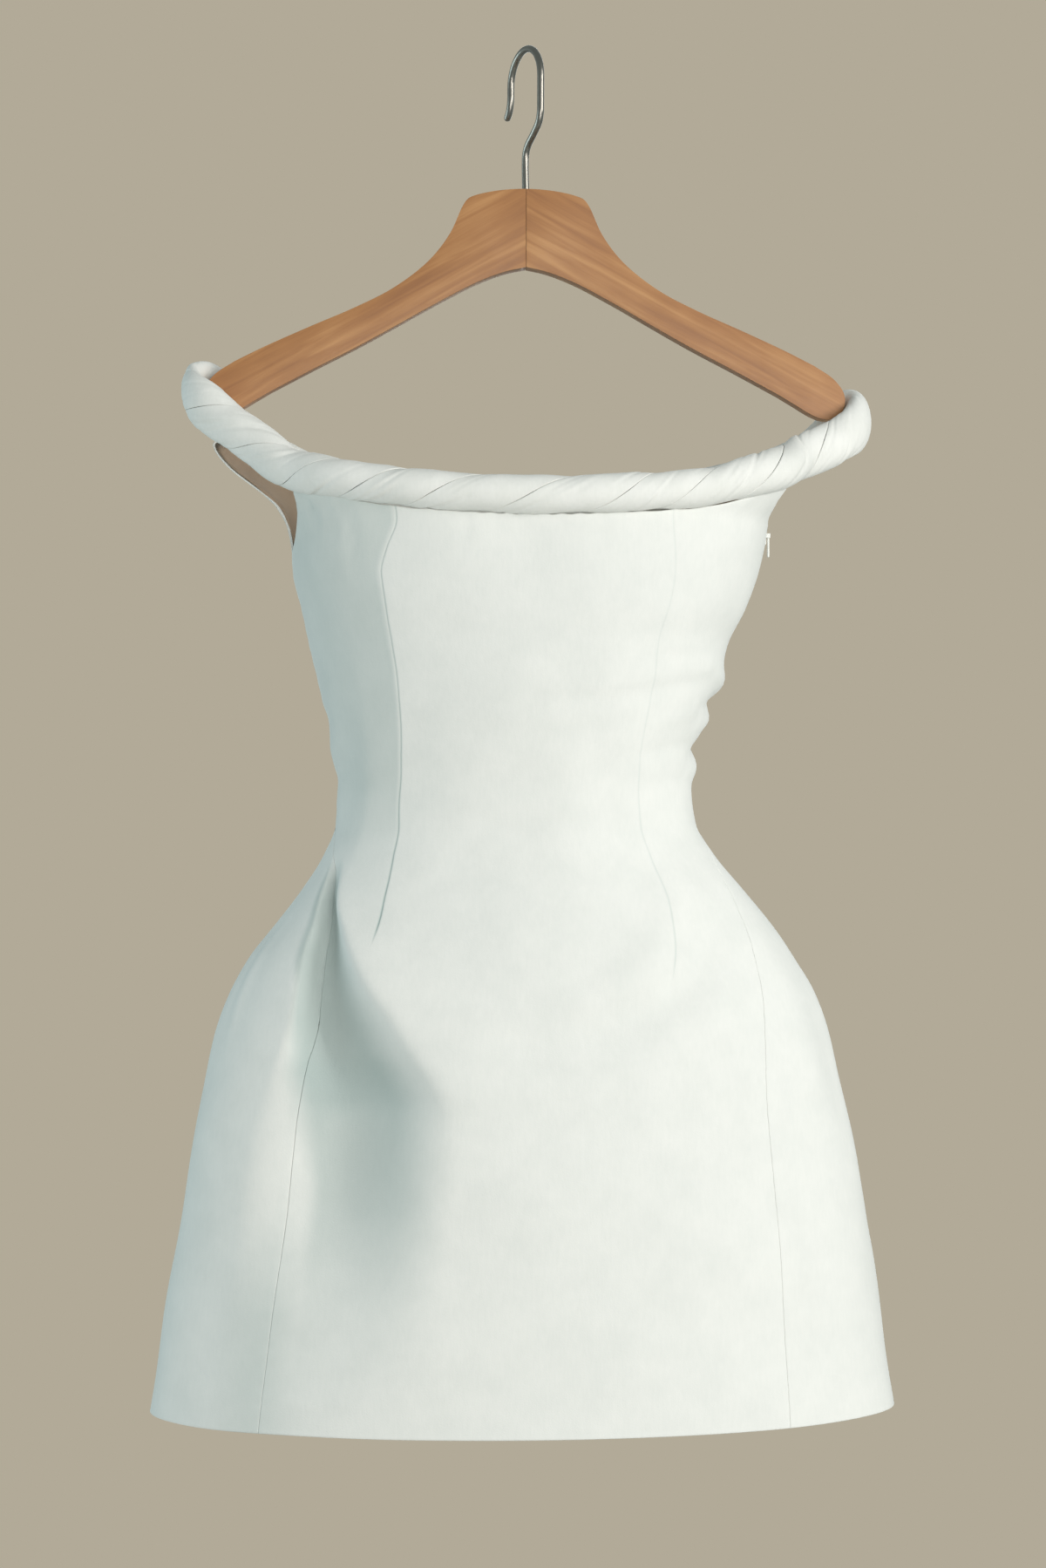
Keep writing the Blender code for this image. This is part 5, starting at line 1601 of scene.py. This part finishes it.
def wood_material():
    """Oiled beech stained red-brown: grain runs along each arm, and the oil gives a soft gloss."""
    material, tree = new_material("oiled red-brown wood")
    grain = add_node(tree, "ShaderNodeAttribute", attribute_name="grain").outputs["Vector"]
    long_way = add_node(tree, "ShaderNodeMapping", {"Vector": grain, "Scale": (0.06, 1.0, 1.0)})
    streak = add_node(tree, "ShaderNodeTexNoise",
                      {"Vector": long_way.outputs[0], "Scale": 1 / (5.5 * MM), "Detail": 4.0,
                       "Roughness": 0.5, "Distortion": 0.5})
    pores = add_node(tree, "ShaderNodeMapping", {"Vector": grain, "Scale": (0.16, 1.0, 1.0)})
    pore = add_node(tree, "ShaderNodeTexNoise",
                    {"Vector": pores.outputs[0], "Scale": 1 / (0.8 * MM), "Detail": 2.0})
    cloud = add_node(tree, "ShaderNodeTexNoise", {"Vector": grain, "Scale": 1 / (55 * MM), "Detail": 2.0})
    tone = add_node(tree, "ShaderNodeMath", {0: cloud.outputs[0], 1: 0.5, 2: streak.outputs[0]},
                    operation="MULTIPLY_ADD")
    ramp = add_node(tree, "ShaderNodeValToRGB", {"Fac": tone.outputs[0]})
    stops = ramp.color_ramp.elements
    stops[0].position = 0.35
    stops[0].color = linear("#8C5934")
    stops[1].position = 1.15
    stops[1].color = linear("#C08B57")
    stops.new(0.74).color = linear("#AB7544")
    dull = add_node(tree, "ShaderNodeMapRange", {"Value": pore.outputs[0], "To Min": 0.36, "To Max": 0.58})
    relief = add_node(tree, "ShaderNodeMath", {0: pore.outputs[0], 1: 0.6, 2: streak.outputs[0]},
                      operation="MULTIPLY_ADD")
    raised = add_node(tree, "ShaderNodeBump",
                      {"Height": relief.outputs[0], "Strength": 0.35, "Distance": 0.15 * MM})
    return close_material(material, {
        "Base Color": ramp.outputs["Color"], "Roughness": dull.outputs[0], "Normal": raised.outputs[0],
        "Coat Weight": 0.15, "Coat Roughness": 0.35})


def mottled_material(name, texture, colours, values, gloss=None, bump=None, kind="Noise", **settings):
    """A finish whose texture mixes two colours, and may also vary its gloss and raise it."""
    material, tree = new_material(name)
    place = add_node(tree, "ShaderNodeTexCoord").outputs["Object"]
    made = add_node(tree, "ShaderNodeTex" + kind, {"Vector": place, **texture}, **settings)
    mottle = made.outputs["Fac"]
    dark, light = (linear(colour) for colour in colours)
    mixed = add_node(tree, "ShaderNodeMix", {"Factor": mottle, "A": dark, "B": light}, data_type="RGBA")
    values = {"Base Color": mixed.outputs["Result"], **values}
    if gloss:
        dull = add_node(tree, "ShaderNodeMapRange", {"Value": mottle, "To Min": gloss[0], "To Max": gloss[1]})
        values["Roughness"] = dull.outputs[0]
    if bump:
        raised = add_node(tree, "ShaderNodeBump", {"Height": mottle, "Strength": bump, "Distance": 0.1 * MM})
        values["Normal"] = raised.outputs[0]
    return close_material(material, values)


def tape_material():
    """Woven polyester zip tape: off-white, with fine ribs across it."""
    # ribs of a real tape are about 0.4 mm apart
    ribs = {"Scale": 1 / (0.8 * MM) / math.tau, "Distortion": 0.4}
    return mottled_material("zip tape weave", ribs, ("#D2D2CD", "#E8E8E4"), {"Roughness": 0.75}, bump=0.4,
                            kind="Wave", bands_direction="Z")


def enamel_material():
    """Zip metal dipped in white enamel to match the cloth: smooth, half gloss, slightly uneven."""
    cloud = {"Scale": 1 / (1.8 * MM), "Detail": 2.0}
    return mottled_material("white enamelled zip metal", cloud, ("#E2E2DD", "#F0F0EC"), {},
                            gloss=(0.3, 0.5), bump=0.15)


def steel_material():
    """Drawn steel wire, plated and a little dulled, with fine handling marks."""
    marks = {"Scale": 1 / (2.5 * MM), "Detail": 4.0, "Roughness": 0.7}
    return mottled_material("plated steel wire", marks, ("#8B8780", "#9B978F"), {"Metallic": 1.0},
                            gloss=(0.27, 0.34))


def floor_material():
    """Pale painted floor, evenly dull."""
    cloud = {"Scale": 3.0, "Detail": 3.0}
    return mottled_material("pale floor paint", cloud, ("#C9C5BB", "#D3CFC6"), {"Roughness": 0.8})


MATERIALS = {}


def finish(name):
    """The named material, made once."""
    if name not in MATERIALS:
        makers = {
            "crepe": lambda: crepe_material("white matte crepe", "#F0F0EC", "#E9EAE6", 0.35),
            "band crepe": lambda: crepe_material("white crepe of the band", "#F2F1ED", "#E8E8E3", 0.45),
            "nude facing": facing_material,
            "zip tape": tape_material,
            "coated zip": enamel_material,
            "oiled wood": wood_material,
            "steel wire": steel_material,
            "floor": floor_material,
        }
        MATERIALS[name] = makers[name]()
    return MATERIALS[name]


# ---- settings ----

class ClothSettings(bpy.types.PropertyGroup):
    """Sizes of the sewn cloth."""

    step: bpy.props.FloatProperty(
        name="Point spacing", description="Distance between the cloth's rows of points, in mm", default=3.2,
        min=1.0, max=12.0)
    seam_ridge: bpy.props.FloatProperty(
        name="Seam ridge", description="Height of the fold beside a pressed seam, in mm", default=0.12,
        min=0.0, max=2.0)


class BandSettings(bpy.types.PropertyGroup):
    """Sizes of the twisted band."""

    fill: bpy.props.FloatProperty(
        name="Fill", description="How full the strands are, from slack to tight", default=0.6, min=0.0,
        max=1.0, subtype="FACTOR")


class StageSettings(bpy.types.PropertyGroup):
    """The studio round the dress."""

    azimuth: bpy.props.FloatProperty(
        name="Viewing angle", description="Direction the camera looks from, round the dress",
        default=math.radians(-3.5), subtype="ANGLE")
    distance: bpy.props.FloatProperty(
        name="Camera distance", description="From the hook's plane to the camera", default=2.1, unit="LENGTH")
    lens: bpy.props.FloatProperty(name="Lens", description="Focal length in mm", default=67.78)
    aim_height: bpy.props.FloatProperty(
        name="Aim height", description="Height that the camera looks at", default=-0.52, unit="LENGTH")
    floor_height: bpy.props.FloatProperty(
        name="Floor height", description="Height of the floor under the hook", default=-1.95, unit="LENGTH")


# ---- operators ----

def store_shade(thing, shade):
    """Stores the painted shade of each point of a shell's grid, outside and inside, in its fold attribute."""
    shade = np.concatenate([shade.ravel(), shade[1:-1, 1:-1].ravel()])
    thing.data.attributes.new("fold", "FLOAT", "POINT").data.foreach_set("value", shade)


def declare_sheet(thing, node):
    """Hands a sheet of cloth over like any other piece: its CAD node hidden, and the sheet on the root body.
    """
    hand_over(thing, node)


def hand_over(thing, node, part_of="root"):
    """Hides the CAD node that a piece stands for, if one is given, and puts the piece on the body that
    carries it.
    """
    if node:
        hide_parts(node)
    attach(thing, part_of)


class DRESS_OT_panels(bpy.types.Operator):
    """Cut and hang the front and back panels and the side gores"""

    bl_idname = "dress.panels"
    bl_label = "Panels and gores"

    def execute(self, context):
        settings = context.scene.dress_cloth
        step, ridge = settings.step, settings.seam_ridge
        crepe = finish("crepe")
        rows = level_rows(HEM_Z, YOKE_Z, step, top=True)
        lines = (seam_line(-1, "front", 1), lambda z: dart_degree(DART_LEFT, z),
                 lambda z: dart_degree(DART_RIGHT, z), seam_line(1, "front", -1))
        near = (EDGE_STEPS, DART_STEPS, DART_STEPS, EDGE_STEPS)
        deg, z, reach = columns_between(rows, lines, near, COLUMNS["front"])
        lift = seam_lift(reach, z, 0.0) + hem_lift(z) + dart_height(deg, z)
        front = shell("front_panel_cloth", (deg, z), to_hem_and_top(z, deg), reach, lift, 0.0, WALL, crepe)
        # painted shade: the darts' creases, the hollow, the left seam's foot and the bodice past the left
        # dart
        store_shade(front, dart_shade(deg, z) + hollow_shade(deg, z))
        declare_sheet(front, "front_panel")
        lines = (seam_line(1, "back", 1), lambda z: seam_line(-1, "back", -1)(z) + 360.0)
        deg, z, reach = columns_between(rows, lines, (EDGE_STEPS, EDGE_STEPS), COLUMNS["back"])
        lift = seam_lift(reach, z, BACK_RIDGE) + hem_lift(z)
        wall = back_wall(deg, z)
        back = shell("back_panel_cloth", (deg, z), to_hem_and_top(z, deg), reach, lift, 0.0, wall, crepe)
        declare_sheet(back, "back_panel")
        rows = level_rows(HEM_Z, GORE_TIP_Z, step)
        for side, name in ((-1, "side_gore_left"), (1, "side_gore_right")):
            first, last = ("back", "front") if side < 0 else ("front", "back")
            lines = (seam_line(side, first, 1), seam_line(side, last, -1))
            deg, z, reach = columns_between(rows, lines, (EDGE_STEPS, EDGE_STEPS), COLUMNS["gore"])
            lift = seam_lift(reach, z, ridge) + hem_lift(z)
            to_seam = np.minimum(reach, GORE_TIP_Z - z)
            gore = shell(name + "_cloth", (deg, z), z - HEM_Z, to_seam, lift, 0.0, WALL, crepe)
            # painted shade in the hollow, on the left gore's side of the seam
            if side < 0:
                store_shade(gore, hollow_shade(deg, z))
            declare_sheet(gore, name)
        return {"FINISHED"}


class DRESS_OT_facing(bpy.types.Operator):
    """Lay the facing inside the back's upper edge"""

    bl_idname = "dress.facing"
    bl_label = "Back facing"

    def execute(self, context):
        step = context.scene.dress_cloth.step
        levels = [*levels_from_edge(FACING_FOOT_Z, YOKE_Z, step), YOKE_Z]
        rows = [(level, 0.0, 0.0) for level in levels]
        rows += [(YOKE_Z, climb, 0.0) for climb in np.linspace(0, FACING_CLIMB, FACING_ROWS)[1:]]
        lines = (lambda z: np.full(np.shape(z), FACING_FROM), lambda z: np.full(np.shape(z), FACING_TO))
        deg, z, reach = columns_between(rows, lines, (EDGE_STEPS, EDGE_STEPS), COLUMNS["facing"])
        top = YOKE_Z + (sewn_edge(deg) - YOKE_Z) * FACING_CLIMB
        rim = np.minimum(reach, np.minimum(z - FACING_FOOT_Z, top - z))
        facing = shell("back_facing_cloth", (deg, z), rim, FAR + reach, np.zeros_like(z),
                       back_wall(deg, z) + SEAM, FACING, finish("nude facing"))
        declare_sheet(facing, "back_facing")
        return {"FINISHED"}


class DRESS_OT_band(bpy.types.Operator):
    """Twist the two padded strands round each other along the neck and the hanger's ends"""

    bl_idname = "dress.band"
    bl_label = "Twisted band"

    def execute(self, context):
        tree = strand_tree()
        line = band_frame()
        for strand, name in enumerate(("twist_strand_a", "twist_strand_b")):
            thing = make_strand(strand, name + "_cloth", tree, line, finish("band crepe"))
            hand_over(thing, name)
        return {"FINISHED"}


class DRESS_OT_zip(bpy.types.Operator):
    """Set the concealed zip into the side seam at +X"""

    bl_idname = "dress.zip"
    bl_label = "Concealed zip"

    def execute(self, context):
        levels = levels_from_edge(TAPE_FOOT_Z, TAPE_TOP_Z - EDGE_STEPS[-1], TAPE_STEP)
        levels += [TAPE_TOP_Z - s for s in reversed(EDGE_STEPS)]
        rows = [(level, 0.0, 0.0) for level in levels]
        lines = [lambda z, side=side: seam_of_zip(z) + side * TAPE_HALF / mm_per_degree(seam_of_zip(z), z)
                 for side in (-1, 1)]
        deg, z, reach = columns_between(rows, lines, (EDGE_STEPS, EDGE_STEPS), COLUMNS["tape"])
        rim = np.minimum(reach, np.minimum(z - TAPE_FOOT_Z, TAPE_TOP_Z - z))
        tape = shell("zip_tape_cloth", (deg, z), rim, FAR + reach, np.zeros_like(z), WALL + TAPE_INSIDE,
                     FACING, finish("zip tape"))
        declare_sheet(tape, "zip_tape")
        hand_over(make_coil("zip_teeth", coil_tree(), finish("coated zip")), None)
        hand_over(make_slider("zip_slider_metal", finish("coated zip")), "zip_slider")
        hand_over(make_pull("zip_pull_metal", finish("coated zip")), "zip_pull", "pull")
        return {"FINISHED"}


class DRESS_OT_hanger(bpy.types.Operator):
    """Shape the hanger's two wooden arms and its wire hook"""

    bl_idname = "dress.hanger"
    bl_label = "Hanger"

    def execute(self, context):
        for side, name in ((-1, "hanger_arm_left"), (1, "hanger_arm_right")):
            hand_over(make_arm(side, name + "_wood", finish("oiled wood")), name)
        hook = make_hook("hanger_hook_wire", wire_tree(), finish("steel wire"))
        hand_over(hook, "hanger_hook")
        return {"FINISHED"}


class DRESS_OT_stage(bpy.types.Operator):
    """Set the camera, the soft studio light and the floor"""

    bl_idname = "dress.stage"
    bl_label = "Studio"

    def execute(self, context):
        scene = context.scene
        settings = scene.dress_stage
        add_camera(scene, settings)
        add_lights()
        add_world(scene)
        add_floor(settings.floor_height)
        scene.view_settings.view_transform = "Standard"
        return {"FINISHED"}


CAMERA_SHIFT = 0.0019  # to the left, which sets the dress a hair right of the middle
FLOOR_RADIUS = 1.6


def add_camera(scene, settings):
    """The camera, level, a little to the dress's right of straight ahead."""
    turn = settings.azimuth
    right = np.array((math.cos(turn), math.sin(turn), 0.0))
    back = np.array((math.sin(turn), -math.cos(turn), 0.0))
    data = bpy.data.cameras.new("camera")
    data.lens = settings.lens
    data.sensor_fit = "VERTICAL"
    data.sensor_height = 36.0
    data.clip_start = 0.05
    camera = bpy.data.objects.new("camera", data)
    place = back * settings.distance - right * CAMERA_SHIFT
    camera.location = (place[0], place[1], settings.aim_height)
    camera.rotation_euler = (math.radians(90), 0.0, turn)
    scene.collection.objects.link(camera)
    scene.camera = camera


LAMPS = (
    # name, place, power in watts, size in metres, colour
    ("key from the right", (2.25, -1.95, 0.4), 45.5, 1.6, "#FFFDF9"),
    ("front", (0.75, -3.25, -0.6), 43.0, 1.8, "#FFFCF8"),
    ("cool from the left", (-2.8, 0.35, -0.5), 32.0, 1.8, "#C3D8DE"),
    ("behind", (0.6, 2.8, 0.6), 22.0, 2.2, "#F4F6F6"),
)
AIM = (0.0, 0.0, -0.55)


def add_lights():
    """Large soft lamps: a warm key from the right, a front fill and a cool one from the left."""
    for name, place, power, size, colour in LAMPS:
        data = bpy.data.lights.new(name, "AREA")
        data.shape = "DISK"
        data.size = size
        data.energy = power
        data.color = linear(colour)[:3]
        lamp = bpy.data.objects.new(name, data)
        lamp.location = place
        towards = unit(np.array(AIM) - np.array(place))
        lamp.rotation_euler = (math.acos(-towards[2]), 0.0, math.atan2(-towards[0], towards[1]))
        bpy.context.scene.collection.objects.link(lamp)


def add_world(scene):
    """A plain warm grey room that fills the shadows with a cooler light."""
    world = bpy.data.worlds.new("studio")
    world.use_nodes = True
    tree = world.node_tree
    tree.nodes.clear()
    seen = add_node(tree, "ShaderNodeBackground", {"Color": linear("#B2AA98")})
    felt = add_node(tree, "ShaderNodeBackground", {"Color": linear("#C5D3D2"), "Strength": 0.48})
    path = add_node(tree, "ShaderNodeLightPath")
    mixed = add_node(tree, "ShaderNodeMixShader",
                     {0: path.outputs["Is Camera Ray"], 1: felt.outputs[0], 2: seen.outputs[0]})
    add_node(tree, "ShaderNodeOutputWorld", {"Surface": mixed.outputs[0]})
    scene.world = world


def add_floor(height):
    """A plain pale floor, a round sheet."""
    build = bmesh.new()
    bmesh.ops.create_circle(build, cap_ends=True, segments=96, radius=FLOOR_RADIUS)
    bmesh.ops.translate(build, verts=build.verts, vec=(0, 0, height))
    add_object("floor", built_mesh("floor", build), finish("floor"))


class DRESS_PT_panel(bpy.types.Panel):
    """Lists the steps that build the dress"""

    bl_idname = "DRESS_PT_panel"
    bl_label = "Off-shoulder mini dress"
    bl_space_type = "VIEW_3D"
    bl_region_type = "UI"
    bl_category = "Dress"

    def draw(self, context):
        column = self.layout.column(align=True)
        for step in STEPS:
            column.operator(step.bl_idname)
        column = self.layout.column()
        column.prop(context.scene.dress_cloth, "step")
        column.prop(context.scene.dress_cloth, "seam_ridge")
        column.prop(context.scene.dress_band, "fill")
        for name in ("azimuth", "distance", "lens", "aim_height", "floor_height"):
            column.prop(context.scene.dress_stage, name)


GROUPS = {"dress_cloth": ClothSettings, "dress_band": BandSettings, "dress_stage": StageSettings}
STEPS = (DRESS_OT_stage, DRESS_OT_hanger, DRESS_OT_band, DRESS_OT_panels, DRESS_OT_facing, DRESS_OT_zip)


def register():
    for name, group in GROUPS.items():
        bpy.utils.register_class(group)
        setattr(bpy.types.Scene, name, bpy.props.PointerProperty(type=group))
    for step in (*STEPS, DRESS_PT_panel):
        bpy.utils.register_class(step)


def unregister():
    for step in reversed((*STEPS, DRESS_PT_panel)):
        bpy.utils.unregister_class(step)
    for name, group in GROUPS.items():
        delattr(bpy.types.Scene, name)
        bpy.utils.unregister_class(group)


def main():
    register()
    bpy.ops.dress.stage()
    bpy.ops.dress.hanger()
    bpy.ops.dress.band()
    bpy.ops.dress.panels()
    bpy.ops.dress.facing()
    bpy.ops.dress.zip()


if __name__ == "__main__":
    main()
